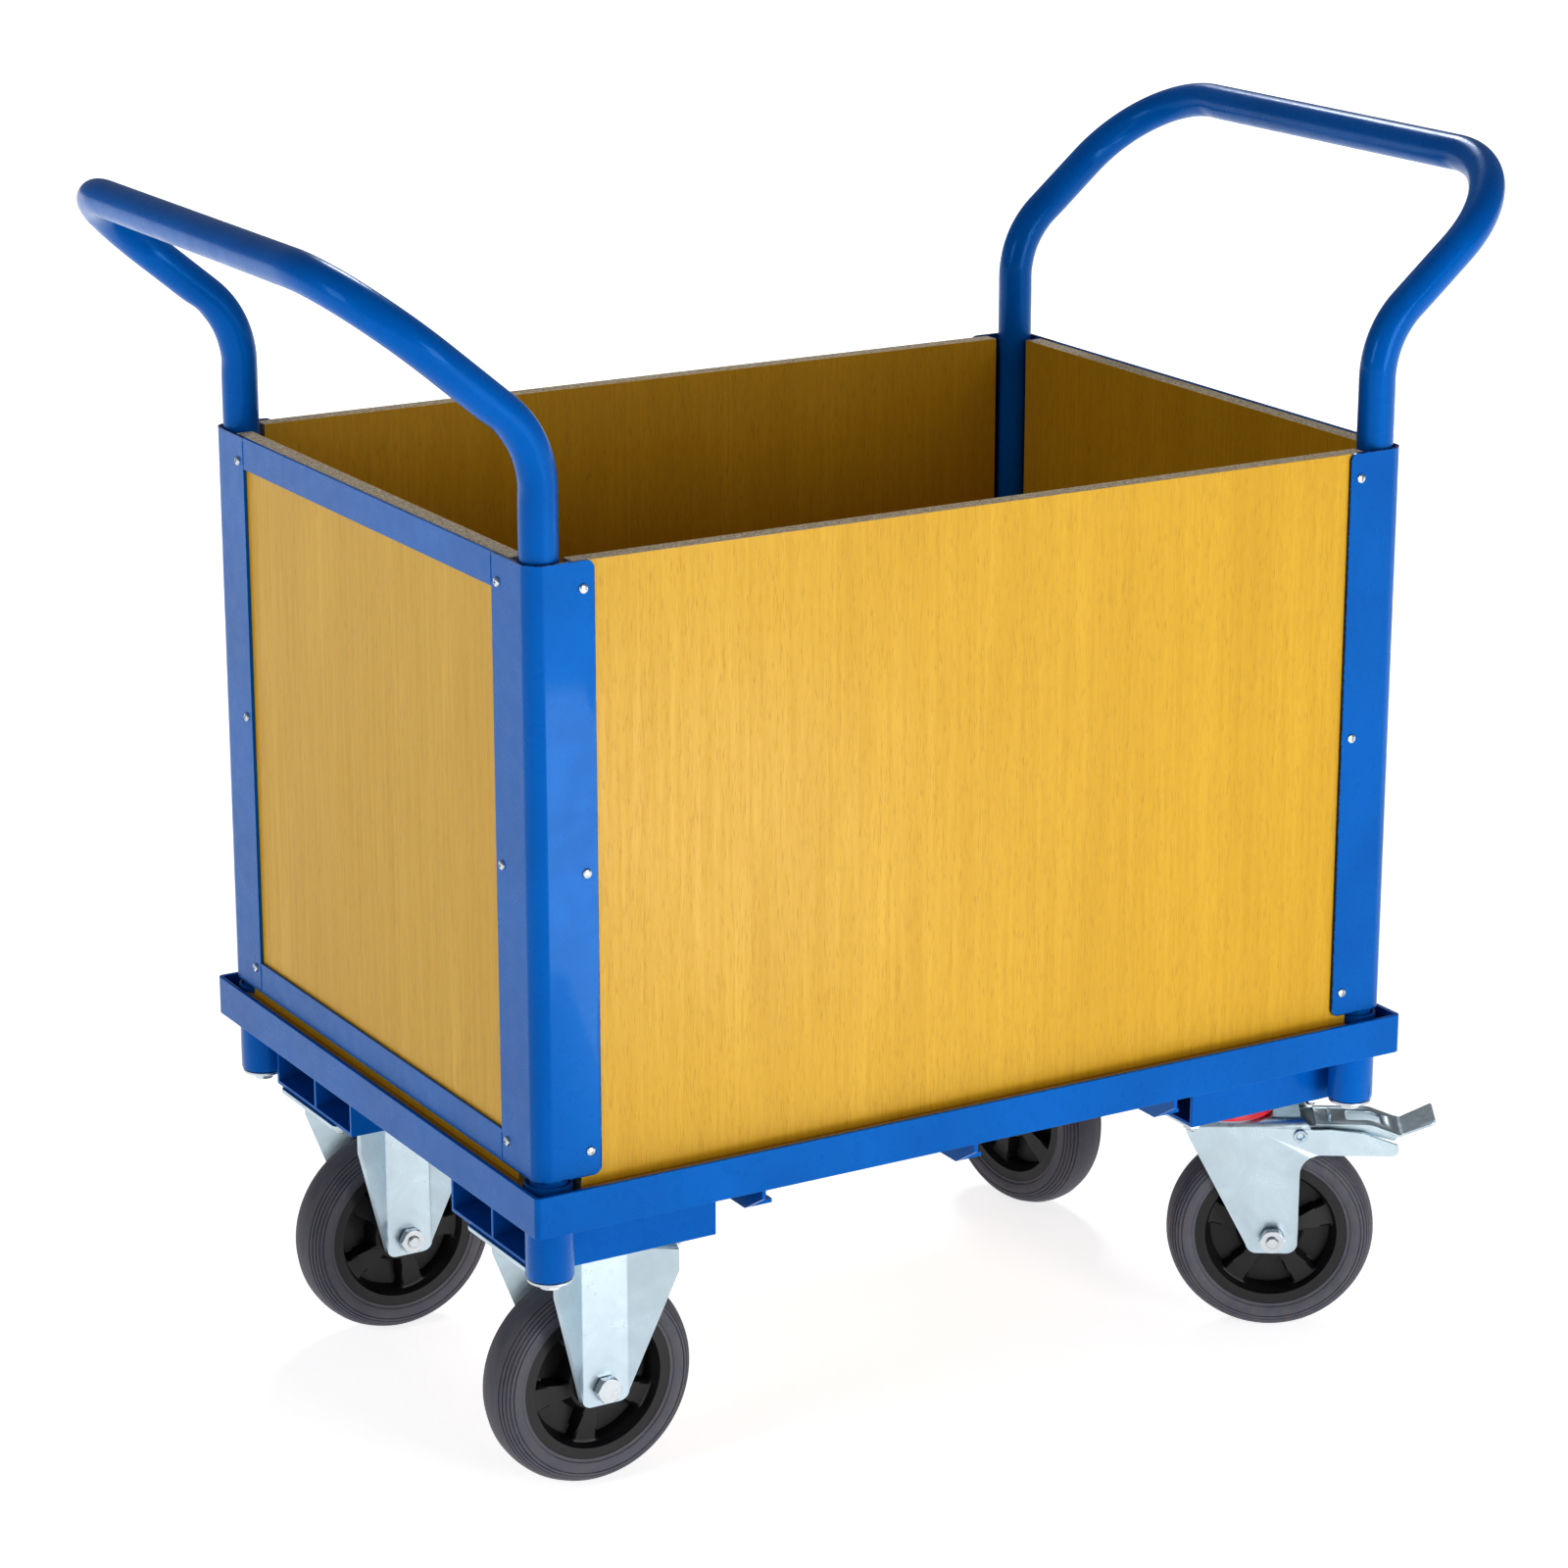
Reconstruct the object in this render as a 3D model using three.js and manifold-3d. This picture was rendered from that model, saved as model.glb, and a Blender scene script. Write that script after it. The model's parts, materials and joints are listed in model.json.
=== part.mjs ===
// Four-walled box trolley: an angle-iron base on two fixed and two swivel casters, wooden side
// and end boards screwed behind sheet-steel corner posts, and a bent-tube push handle at each end.
// Millimetres. X runs along the trolley, Z is up, and the origin is on the floor at the centre.
import * as THREE from 'three';
import { mergeVertices } from 'three/addons/utils/BufferGeometryUtils.js';
import Module from 'manifold-3d';

const wasm = await Module();
wasm.setup();

// ---- driving dimensions -------------------------------------------------------------------
const GAP = 0.3; // clearance kept between pieces that touch
const CUT = 1; // how far a cutting body runs past the face it cuts

// base frame of angle iron, outside sizes
const BASE_HALF_LENGTH = 460;
const BASE_HALF_WIDTH = 335;
const BASE_BOTTOM = 301;
const BASE_TOP = 338.5;
const ANGLE_THICKNESS = 4;
const ANGLE_SHELF = 40;

// deck board, lying on the shelves of the angle iron
const DECK_THICKNESS = 28;
const DECK_SIDE_PLAY = 0.5;
const DECK_BOTTOM = BASE_BOTTOM + ANGLE_THICKNESS + GAP;
const DECK_TOP = DECK_BOTTOM + DECK_THICKNESS;
const LOAD_HALF_LENGTH = 400; // the part of the deck that loads rest on, clear of the walls
const LOAD_HALF_WIDTH = 285;

// corner posts of folded sheet, outside faces
const POST_X = 450;
const POST_Y = 320;
const SHEET = 3;
const POST_BEND_RADIUS = 15;
const POST_SIDE_FLANGE = 61.5;
const POST_END_FLANGE = 67.5;
const POST_BOTTOM = 343.5;
const POST_TOP = 885;
const FLANGE_CORNER_RADIUS = 8;
const END_BAR_HEIGHT = 30;

// boards that make the four walls
const BOARD = 18;
const BOARD_BOTTOM = DECK_TOP + GAP;
const BOARD_TOP = 884;
const SIDE_BOARD_HALF_LENGTH = 407;
const END_BOARD_HALF_WIDTH = 277;

// push handles: one tube each, its legs standing inside the posts and down in the sockets
const HANDLE_RADIUS = 16.85;
const HANDLE_WALL = 2.5;
const HANDLE_SIDES = 12;
const HANDLE_X = POST_X - SHEET - GAP - HANDLE_RADIUS;
const HANDLE_Y = POST_Y - SHEET - GAP - HANDLE_RADIUS;
const HANDLE_FOOT = 255;
const HANDLE_LOWER_BEND = 986; // height where the leg would meet the slanted run
const HANDLE_GRIP_X = 596;
const HANDLE_GRIP_Z = 1126;
const LOWER_BEND_RADIUS = 85;
const GRIP_BEND_RADIUS = 105;
const BEND_STEPS = 4;
const HANDLE_PLUG = 12;

// sockets in the corners of the base, and the bolts that hold the handles in them
const SOCKET_RADIUS = 21.2;
const SOCKET_WALL = 3;
const SOCKET_BOTTOM = 250;
const SOCKET_TOP = 338;
const BOLT_RADIUS = 5;
const BOLT_LENGTH = 37;
const BOLT_HEAD_RADIUS = 9.8;
const BOLT_HEAD_HEIGHT = 7;
const WASHER_RADIUS = 20;
const WASHER_HEIGHT = 2.8;

// cross members under the deck
const CROSS_MEMBER_X = [-222, 0, 220];
const CROSS_MEMBER_BOTTOM = 261;
const CROSS_MEMBER_HALF = 306;
const CROSS_MEMBER_WEB = 4;
const CROSS_MEMBER_FLANGE = 28;
const CHAMFER_RUN = 31;
const CHAMFER_RISE = 19;

// brackets that carry the casters
const BRACKET_LENGTH = 178;
const BRACKET_BOTTOM = 241;
const BRACKET_SHEET = 4;
const BRACKET_OUTER_Y = 273;
const BRACKET_RIB_Y = 188;
const BRACKET_INNER_Y = 105;
const BRACKET_X = { left: -339, right: 354 };

// casters
const WHEEL_RADIUS = 100;
const RIM_RADIUS = 73;
const WHEEL_HALF_WIDTH = 25;
const WHEEL_SIDES = 24;
const HUB_BORE = 7;
const FIXED_X = -343;
const FIXED_Y = 200;
const SWIVEL_X = 356;
const SWIVEL_Y = 204;
const SWIVEL_TRAIL = 45;
const SWIVEL_HEADING = { front: -33, back: -80 }; // degrees from +X, the way each wheel trails
const PLATE_TOP = BRACKET_BOTTOM - GAP;
const PLATE_THICKNESS = 4;
const PLATE_BOTTOM = PLATE_TOP - PLATE_THICKNESS;
const PLATE_HALF_LENGTH = 87.5;
const PLATE_HALF_WIDTH = 55;
const FIXED_PLATE_HALF_WIDTH = 64;
const FIXED_SHOULDER = 62; // half width of a fixed fork above its shoulder
const FIXED_SHOULDER_HEIGHT = 209;
const FIXED_CREASE = 25; // where the flanks of a fixed fork start to flare away from the wheel
const FIXED_FLARE = 30; // how far they reach out at the shoulder
const FORK_INSIDE = 29;
const FORK_SHEET = 4;
const FORK_OUTSIDE = FORK_INSIDE + FORK_SHEET;
const FORK_FOOT = 84; // height of a fork's lower edge
const FOOT_CORNER_RADIUS = 11;
const FOOT_HALF = 25;
const FORK_BOSS = 37; // outer face of the pressed-out boss round the axle
const FORK_BOSS_RADIUS = 13.5;
const AXLE_RADIUS = 6;
const AXLE_HEX_RADIUS = 12.7;
const AXLE_HEX_HEIGHT = 8;
const AXLE_END = FORK_BOSS + AXLE_HEX_HEIGHT + 3;
const ROUND_SIDES = 16;

// swivel head and brake pedal, in a fork's own frame: x along the heading, y across the wheel
const CROWN_BOTTOM = 217.5;
const CROWN_TOP = 221.5;
const CROWN_BACK = -40;
const CROWN_FRONT = 70;
const KINGPIN_RADIUS = 7;
const RACE_RADIUS = 33;
const RACE_TOP = 229.5;
const SEAL_INNER_RADIUS = 37.5;
const SEAL_OUTER_RADIUS = 45;
const SEAL_BOTTOM = 223.5;
const PEDAL_PIVOT = [69.5, 206];
const PEDAL_PIN_RADIUS = 4;
const PEDAL_HALF_WIDTH = 26;

// ---- materials ----------------------------------------------------------------------------
const FINISHES = {
  blue: { color: 0x0b3f9c, roughness: 0.3, metalness: 0.0 },
  board: { color: 0xd9a23c, roughness: 0.5, metalness: 0.0 },
  zinc: { color: 0xb9c3c8, roughness: 0.35, metalness: 0.9 },
  rubber: { color: 0x55565c, roughness: 0.8, metalness: 0.0 },
  plastic: { color: 0x151515, roughness: 0.5, metalness: 0.0 },
  red: { color: 0xb01828, roughness: 0.5, metalness: 0.0 },
};

const trolley = new THREE.Group();

function piece(name, finish, geometry, parent = trolley) {
  const mesh = new THREE.Mesh(geometry, new THREE.MeshStandardMaterial(FINISHES[finish]));
  mesh.name = name;
  parent.add(mesh);
  return mesh;
}

// ---- shapes -------------------------------------------------------------------------------
function solidOf(geometry) {
  const bare = geometry.clone();
  bare.deleteAttribute('normal');
  bare.deleteAttribute('uv');
  const merged = mergeVertices(bare, 1e-3);
  const corners = merged.index.array;
  const triangles = [];
  for (let i = 0; i < corners.length; i += 3) {
    const [a, b, c] = corners.slice(i, i + 3);
    if (a !== b && b !== c && c !== a) {
      triangles.push(a, b, c);
    }
  }
  return new wasm.Manifold(new wasm.Mesh({
    numProp: 3,
    vertProperties: new Float32Array(merged.attributes.position.array),
    triVerts: new Uint32Array(triangles),
  }));
}

function geometryOf(solid) {
  const mesh = solid.getMesh();
  const geometry = new THREE.BufferGeometry();
  geometry.setAttribute('position', new THREE.BufferAttribute(mesh.vertProperties, 3));
  geometry.setIndex(new THREE.BufferAttribute(mesh.triVerts, 1));
  return geometry;
}

// joins the first list of geometries and cuts the second list out of the result
function joined(parts, cuts = []) {
  let solid = solidOf(parts[0]);
  for (const part of parts.slice(1)) {
    solid = solid.add(solidOf(part));
  }
  for (const cut of cuts) {
    solid = solid.subtract(solidOf(cut));
  }
  return geometryOf(solid);
}

function outline(points) {
  return new THREE.Shape(points.map(([a, b]) => new THREE.Vector2(a, b)));
}

// points are [x, y], the body runs from z0 to z1
function plan(points, z0, z1) {
  const body = new THREE.ExtrudeGeometry(outline(points), { depth: z1 - z0, bevelEnabled: false });
  return body.translate(0, 0, z0);
}

// points are [x, z], the body runs from y0 to y1
function side(points, y0, y1) {
  const body = new THREE.ExtrudeGeometry(outline(points), { depth: y1 - y0, bevelEnabled: false });
  return body.rotateX(Math.PI / 2).translate(0, y1, 0);
}

// points are [y, z], the body runs from x0 to x1
function end(points, x0, x1) {
  const body = new THREE.ExtrudeGeometry(outline(points), { depth: x1 - x0, bevelEnabled: false });
  return body.rotateX(Math.PI / 2).rotateZ(Math.PI / 2).translate(x0, 0, 0);
}

function box([x0, x1], [y0, y1], [z0, z1]) {
  const body = new THREE.BoxGeometry(Math.abs(x1 - x0), Math.abs(y1 - y0), z1 - z0);
  return body.translate((x0 + x1) / 2, (y0 + y1) / 2, (z0 + z1) / 2);
}

// profile points are [radius, height]; the body is turned round the Z axis
function turned(profile, sides = ROUND_SIDES) {
  const points = profile.map(([radius, height]) => new THREE.Vector2(radius, height));
  return new THREE.LatheGeometry(points, sides).rotateX(Math.PI / 2);
}

function disc(radius, z0, z1, sides = ROUND_SIDES) {
  return turned([[0, z0], [radius, z0], [radius, z1], [0, z1]], sides);
}

function ring(inner, outer, z0, z1, sides = ROUND_SIDES) {
  return turned([[inner, z0], [outer, z0], [outer, z1], [inner, z1], [inner, z0]], sides);
}

// turns a body made round the Z axis so that its axis lies along Y, at height z and place x
function across(body, x, z) {
  return body.rotateX(-Math.PI / 2).translate(x, 0, z);
}

function arc([cx, cy], radius, from, to, steps) {
  return Array.from({ length: steps + 1 }, (_, i) => {
    const angle = THREE.MathUtils.degToRad(from + ((to - from) * i) / steps);
    return [cx + radius * Math.cos(angle), cy + radius * Math.sin(angle)];
  });
}

const CORNERS = [
  ['front_left', -1, -1],
  ['front_right', 1, -1],
  ['back_left', -1, 1],
  ['back_right', 1, 1],
];

// ---- base frame ---------------------------------------------------------------------------
function socketClearance() {
  return CORNERS.map(([, sx, sy]) => disc(SOCKET_RADIUS + GAP, BASE_BOTTOM - CUT, BASE_TOP + CUT)
    .translate(sx * HANDLE_X, sy * HANDLE_Y, 0));
}

// one side of the base, its ends mitred; along and out are the half sizes of the rectangle
function mitredBand(along, out, depth) {
  const cut = along - GAP / 2;
  return [[-cut, -out], [cut, -out], [cut - depth, -out + depth], [-cut + depth, -out + depth]];
}

function baseRail(along, out, angle) {
  const wall = plan(mitredBand(along, out, ANGLE_THICKNESS), BASE_BOTTOM, BASE_TOP);
  const shelf = plan(mitredBand(along, out, ANGLE_SHELF), BASE_BOTTOM, BASE_BOTTOM + ANGLE_THICKNESS);
  return joined([wall.rotateZ(angle), shelf.rotateZ(angle)], socketClearance());
}

function baseFrame() {
  piece('base_rail_front', 'blue', baseRail(BASE_HALF_LENGTH, BASE_HALF_WIDTH, 0));
  piece('base_rail_back', 'blue', baseRail(BASE_HALF_LENGTH, BASE_HALF_WIDTH, Math.PI));
  piece('base_rail_right', 'blue', baseRail(BASE_HALF_WIDTH, BASE_HALF_LENGTH, Math.PI / 2));
  piece('base_rail_left', 'blue', baseRail(BASE_HALF_WIDTH, BASE_HALF_LENGTH, -Math.PI / 2));
  for (const [corner, sx, sy] of CORNERS) {
    const socket = ring(SOCKET_RADIUS - SOCKET_WALL, SOCKET_RADIUS, SOCKET_BOTTOM, SOCKET_TOP);
    piece(`corner_socket_${corner}`, 'blue', socket.translate(sx * HANDLE_X, sy * HANDLE_Y, 0));
  }
}

// a folded channel: web with chamfered ends under the shelves, and a flange at top and bottom
function crossMember(x) {
  const shelfEdge = BASE_HALF_WIDTH - ANGLE_SHELF - 0.5;
  const under = BASE_BOTTOM - GAP;
  const top = DECK_BOTTOM - GAP;
  const foot = CROSS_MEMBER_HALF - CHAMFER_RUN;
  const half = [
    [shelfEdge, top],
    [shelfEdge, under],
    [CROSS_MEMBER_HALF, under],
    [CROSS_MEMBER_HALF, CROSS_MEMBER_BOTTOM + CHAMFER_RISE],
    [foot, CROSS_MEMBER_BOTTOM],
  ];
  const web = [...half, ...half.map(([y, z]) => [-y, z]).reverse()];
  const flangeX = [x, x + CROSS_MEMBER_FLANGE];
  return joined([
    end(web, x, x + CROSS_MEMBER_WEB),
    box(flangeX, [-shelfEdge, shelfEdge], [top - CROSS_MEMBER_WEB, top]),
    box(flangeX, [-foot, foot], [CROSS_MEMBER_BOTTOM, CROSS_MEMBER_BOTTOM + CROSS_MEMBER_WEB]),
  ]);
}

// an open tray: floor plate that the caster bolts to, with three upright webs
function casterBracket(x, sy) {
  const span = [x - BRACKET_LENGTH / 2, x + BRACKET_LENGTH / 2];
  const height = [BRACKET_BOTTOM, BASE_BOTTOM - GAP];
  const wall = (y) => box(span, [sy * y, sy * (y - BRACKET_SHEET)], height);
  const floor = box(span, [sy * BRACKET_INNER_Y, sy * BRACKET_OUTER_Y],
    [BRACKET_BOTTOM, BRACKET_BOTTOM + BRACKET_SHEET]);
  return joined([
    floor,
    wall(BRACKET_OUTER_Y),
    wall(BRACKET_RIB_Y),
    wall(BRACKET_INNER_Y + BRACKET_SHEET),
  ]);
}

function underframe() {
  for (const [i, name] of ['left', 'centre', 'right'].entries()) {
    piece(`cross_member_${name}`, 'blue', crossMember(CROSS_MEMBER_X[i]));
  }
  for (const [corner, sx, sy] of CORNERS) {
    const x = sx < 0 ? BRACKET_X.left : BRACKET_X.right;
    piece(`caster_bracket_${corner}`, 'blue', casterBracket(x, sy));
  }
}

// the board is notched round each socket and cut away towards the corner outside it; its load
// area is put back as a body of its own, so that it keeps a face inside the walls
function deckBoard() {
  const halfLength = BASE_HALF_LENGTH - ANGLE_THICKNESS - DECK_SIDE_PLAY;
  const halfWidth = BASE_HALF_WIDTH - ANGLE_THICKNESS - DECK_SIDE_PLAY;
  const hole = SOCKET_RADIUS + 1.3;
  const depth = [DECK_BOTTOM - CUT, DECK_TOP + CUT];
  const cuts = CORNERS.flatMap(([, sx, sy]) => [
    disc(hole, ...depth).translate(sx * HANDLE_X, sy * HANDLE_Y, 0),
    box([sx * (HANDLE_X - hole), sx * (halfLength + CUT)], [sy * HANDLE_Y, sy * (halfWidth + CUT)], depth),
  ]);
  const board = box([-halfLength, halfLength], [-halfWidth, halfWidth], [DECK_BOTTOM, DECK_TOP]);
  const load = solidOf(box([-LOAD_HALF_LENGTH, LOAD_HALF_LENGTH], [-LOAD_HALF_WIDTH, LOAD_HALF_WIDTH],
    [DECK_BOTTOM, DECK_TOP]));
  const surround = solidOf(joined([board], cuts)).subtract(load);
  piece('deck_board', 'board', geometryOf(surround.add(load)));
}

// ---- walls --------------------------------------------------------------------------------
function cornerPost(sx, sy) {
  const free = POST_X - POST_SIDE_FLANGE;
  const low = POST_Y - POST_END_FLANGE;
  const bend = [POST_X - POST_BEND_RADIUS, POST_Y - POST_BEND_RADIUS];
  const section = [
    [free, POST_Y],
    ...arc(bend, POST_BEND_RADIUS, 90, 0, 5),
    [POST_X, low],
    [POST_X - SHEET, low],
    ...arc(bend, POST_BEND_RADIUS - SHEET, 0, 90, 5),
    [free, POST_Y - SHEET],
  ];
  const radius = FLANGE_CORNER_RADIUS;
  const face = [
    [POST_X + CUT, POST_BOTTOM],
    [POST_X + CUT, POST_TOP],
    ...arc([free + radius, POST_TOP - radius], radius, 90, 180, 4),
    ...arc([free + radius, POST_BOTTOM + radius], radius, 180, 270, 4),
  ];
  const signed = section.map(([x, y]) => [sx * x, sy * y]);
  const signedFace = face.map(([x, z]) => [sx * x, z]);
  const post = solidOf(plan(signed, POST_BOTTOM, POST_TOP));
  return geometryOf(post.intersect(solidOf(side(signedFace, -POST_Y - CUT, POST_Y + CUT))));
}

function endBar(sx, z0) {
  const half = POST_Y - POST_END_FLANGE - GAP;
  return box([sx * (POST_X - SHEET), sx * POST_X], [-half, half], [z0, z0 + END_BAR_HEIGHT]);
}

function walls() {
  for (const [corner, sx, sy] of CORNERS) {
    piece(`corner_post_${corner}`, 'blue', cornerPost(sx, sy));
  }
  const height = [BOARD_BOTTOM, BOARD_TOP];
  const boardX = POST_X - SHEET - GAP;
  const boardY = POST_Y - SHEET - GAP;
  for (const [name, s] of [['left', -1], ['right', 1]]) {
    piece(`end_rail_top_${name}`, 'blue', endBar(s, POST_TOP - END_BAR_HEIGHT));
    piece(`end_rail_bottom_${name}`, 'blue', endBar(s, POST_BOTTOM));
    piece(`end_panel_${name}`, 'board', box([s * (boardX - BOARD), s * boardX],
      [-END_BOARD_HALF_WIDTH, END_BOARD_HALF_WIDTH], height));
  }
  for (const [name, s] of [['front', -1], ['back', 1]]) {
    piece(`side_panel_${name}`, 'board', box([-SIDE_BOARD_HALF_LENGTH, SIDE_BOARD_HALF_LENGTH],
      [s * (boardY - BOARD), s * boardY], height));
  }
}

// ---- push handles -------------------------------------------------------------------------
// a polyline whose corners are rounded into short straight steps
class BentPath extends THREE.Curve {
  constructor(corners, radii, steps) {
    super();
    this.stations = [corners[0]];
    for (let i = 1; i < corners.length - 1; i += 1) {
      this.stations.push(...BentPath.bend(corners[i - 1], corners[i], corners[i + 1], radii[i - 1], steps));
    }
    this.stations.push(corners[corners.length - 1]);
  }

  static bend(before, at, after, radius, steps) {
    const back = before.clone().sub(at).normalize();
    const on = after.clone().sub(at).normalize();
    const half = back.angleTo(on) / 2;
    const turn = Math.PI - 2 * half;
    const centre = back.clone().add(on).normalize().multiplyScalar(radius / Math.sin(half)).add(at);
    const first = back.clone().multiplyScalar(radius / Math.tan(half)).add(at).sub(centre);
    const last = on.clone().multiplyScalar(radius / Math.tan(half)).add(at).sub(centre);
    return Array.from({ length: steps + 1 }, (_, i) => {
      const share = i / steps;
      return first.clone().multiplyScalar(Math.sin((1 - share) * turn) / Math.sin(turn))
        .add(last.clone().multiplyScalar(Math.sin(share * turn) / Math.sin(turn)))
        .add(centre);
    });
  }

  getSpacedPoints() {
    return this.stations;
  }

  getTangentAt(share) {
    const last = this.stations.length - 1;
    const i = Math.round(share * last);
    const before = this.stations[Math.max(i - 1, 0)];
    const after = this.stations[Math.min(i + 1, last)];
    const into = this.stations[i].clone().sub(before).normalize();
    const outOf = after.clone().sub(this.stations[i]).normalize();
    return into.add(outOf).normalize();
  }
}

function handlePath(s) {
  const [x, y] = [s * HANDLE_X, HANDLE_Y];
  const corners = [
    [x, -y, HANDLE_FOOT],
    [x, -y, HANDLE_LOWER_BEND],
    [s * HANDLE_GRIP_X, -y, HANDLE_GRIP_Z],
    [s * HANDLE_GRIP_X, y, HANDLE_GRIP_Z],
    [x, y, HANDLE_LOWER_BEND],
    [x, y, HANDLE_FOOT],
  ].map((corner) => new THREE.Vector3(...corner));
  const radii = [LOWER_BEND_RADIUS, GRIP_BEND_RADIUS, GRIP_BEND_RADIUS, LOWER_BEND_RADIUS];
  return new BentPath(corners, radii, BEND_STEPS);
}

function pushHandle(s) {
  const circle = (radius) => outline(Array.from({ length: HANDLE_SIDES }, (_, i) => {
    const angle = (2 * Math.PI * i) / HANDLE_SIDES;
    return [radius * Math.cos(angle), radius * Math.sin(angle)];
  }));
  const section = circle(HANDLE_RADIUS);
  section.holes.push(circle(HANDLE_RADIUS - HANDLE_WALL));
  const path = handlePath(s);
  const tube = new THREE.ExtrudeGeometry(section, {
    steps: path.stations.length - 1,
    extrudePath: path,
  });
  // a tapped plug closes the foot of each leg, for the bolt that holds it in the socket
  const plugRadius = HANDLE_RADIUS - HANDLE_WALL / 2;
  const plugs = [-1, 1].map((t) => ring(BOLT_RADIUS + GAP, plugRadius, HANDLE_FOOT, HANDLE_FOOT + HANDLE_PLUG, 12)
    .translate(s * HANDLE_X, t * HANDLE_Y, 0));
  return joined([tube, ...plugs]);
}

function handleBolt() {
  const washerTop = SOCKET_BOTTOM - GAP;
  const washerBottom = washerTop - WASHER_HEIGHT;
  return joined([
    disc(WASHER_RADIUS, washerBottom, washerTop),
    disc(BOLT_HEAD_RADIUS, washerBottom - BOLT_HEAD_HEIGHT, washerBottom + CUT, 6),
    disc(BOLT_RADIUS, washerBottom, washerBottom + BOLT_LENGTH, 12),
  ]);
}

function handles() {
  piece('push_handle_left', 'blue', pushHandle(-1));
  piece('push_handle_right', 'blue', pushHandle(1));
  for (const [corner, sx, sy] of CORNERS) {
    piece(`handle_bolt_${corner}`, 'zinc', handleBolt().translate(sx * HANDLE_X, sy * HANDLE_Y, 0));
  }
}

// ---- casters ------------------------------------------------------------------------------
// tread and sidewall of the tyre, [radius, distance from the wheel's middle plane]
const TYRE_HALF_PROFILE = [[100, 0], [99.4, 8], [97.5, 15], [94.5, 20], [89, 24], [81, WHEEL_HALF_WIDTH]];

function wheel(corner, x, parent) {
  const seat = RIM_RADIUS + GAP;
  const outer = TYRE_HALF_PROFILE.map(([radius, away]) => [radius, -away]).reverse();
  const tread = [...outer, ...TYRE_HALF_PROFILE.slice(1)];
  const tyre = turned([[seat, -22], ...tread, [seat, 22], [seat, -22]], WHEEL_SIDES);
  const rim = turned([
    [HUB_BORE, -27], [22, -27], [26, -9], [62, -9], [66, -22], [RIM_RADIUS, -22],
    [RIM_RADIUS, 22], [66, 22], [62, 9], [26, 9], [22, 27], [HUB_BORE, 27], [HUB_BORE, -27],
  ], WHEEL_SIDES);
  piece(`tyre_${corner}`, 'rubber', across(tyre, x, WHEEL_RADIUS), parent);
  piece(`wheel_rim_${corner}`, 'plastic', across(rim, x, WHEEL_RADIUS), parent);
}

// hex bolt through fork and hub with its head on one side, and the nut on the other
function axle(corner, x, headSide, parent) {
  const face = FORK_BOSS + GAP;
  const head = disc(AXLE_HEX_RADIUS, face, face + AXLE_HEX_HEIGHT, 6);
  const shank = disc(AXLE_RADIUS, -AXLE_END, face + CUT, 16);
  const nut = ring(AXLE_RADIUS + GAP, AXLE_HEX_RADIUS, -face - AXLE_HEX_HEIGHT, -face, 6);
  const bore = ring(AXLE_RADIUS + GAP, AXLE_HEX_RADIUS, -face - AXLE_HEX_HEIGHT - CUT, CUT - face, 16);
  const round = geometryOf(solidOf(nut).intersect(solidOf(bore)));
  const place = (body) => across(headSide < 0 ? body.rotateX(Math.PI) : body, x, WHEEL_RADIUS);
  piece(`axle_bolt_${corner}`, 'zinc', place(joined([head, shank])), parent);
  piece(`axle_nut_${corner}`, 'zinc', place(round), parent);
}

// lower edge of a fork leg, from its left corner round to its right corner
function forkFoot(axleX) {
  const inset = FOOT_HALF - FOOT_CORNER_RADIUS;
  const height = FORK_FOOT + FOOT_CORNER_RADIUS;
  return [
    ...arc([axleX - inset, height], FOOT_CORNER_RADIUS, 190, 270, 3),
    ...arc([axleX + inset, height], FOOT_CORNER_RADIUS, 270, 350, 3),
  ];
}

// raised bosses round the axle on the outer faces of both legs
function forkBosses(axleX) {
  return [[-FORK_BOSS, -FORK_INSIDE], [FORK_INSIDE, FORK_BOSS]].map(([y0, y1]) => (
    across(disc(FORK_BOSS_RADIUS, y0, y1), axleX, WHEEL_RADIUS)));
}

function axleHole(axleX) {
  return across(disc(AXLE_RADIUS + GAP, -FORK_BOSS - CUT, FORK_BOSS + CUT, 16), axleX, WHEEL_RADIUS);
}

// a leg folded along two upright creases, so that its flanks flare outwards to the plate
function fixedLeg(t) {
  const half = [
    [0, FORK_OUTSIDE],
    [FIXED_CREASE, FORK_OUTSIDE],
    [FIXED_SHOULDER, FORK_OUTSIDE + FIXED_FLARE],
  ];
  const outside = [...half.slice(1).map(([x, y]) => [-x, y]).reverse(), ...half];
  const inside = outside.map(([x, y]) => [x, y - FORK_SHEET]).reverse();
  const section = [...outside, ...inside].map(([x, y]) => [x, t * y]);
  const face = [
    [-FIXED_SHOULDER - CUT, PLATE_TOP],
    [-FIXED_SHOULDER - CUT, FIXED_SHOULDER_HEIGHT],
    ...forkFoot(0),
    [FIXED_SHOULDER + CUT, FIXED_SHOULDER_HEIGHT],
    [FIXED_SHOULDER + CUT, PLATE_TOP],
  ];
  const leg = solidOf(plan(section, FORK_FOOT - CUT, PLATE_TOP));
  return geometryOf(leg.intersect(solidOf(side(face, -FIXED_PLATE_HALF_WIDTH, FIXED_PLATE_HALF_WIDTH))));
}

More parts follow.
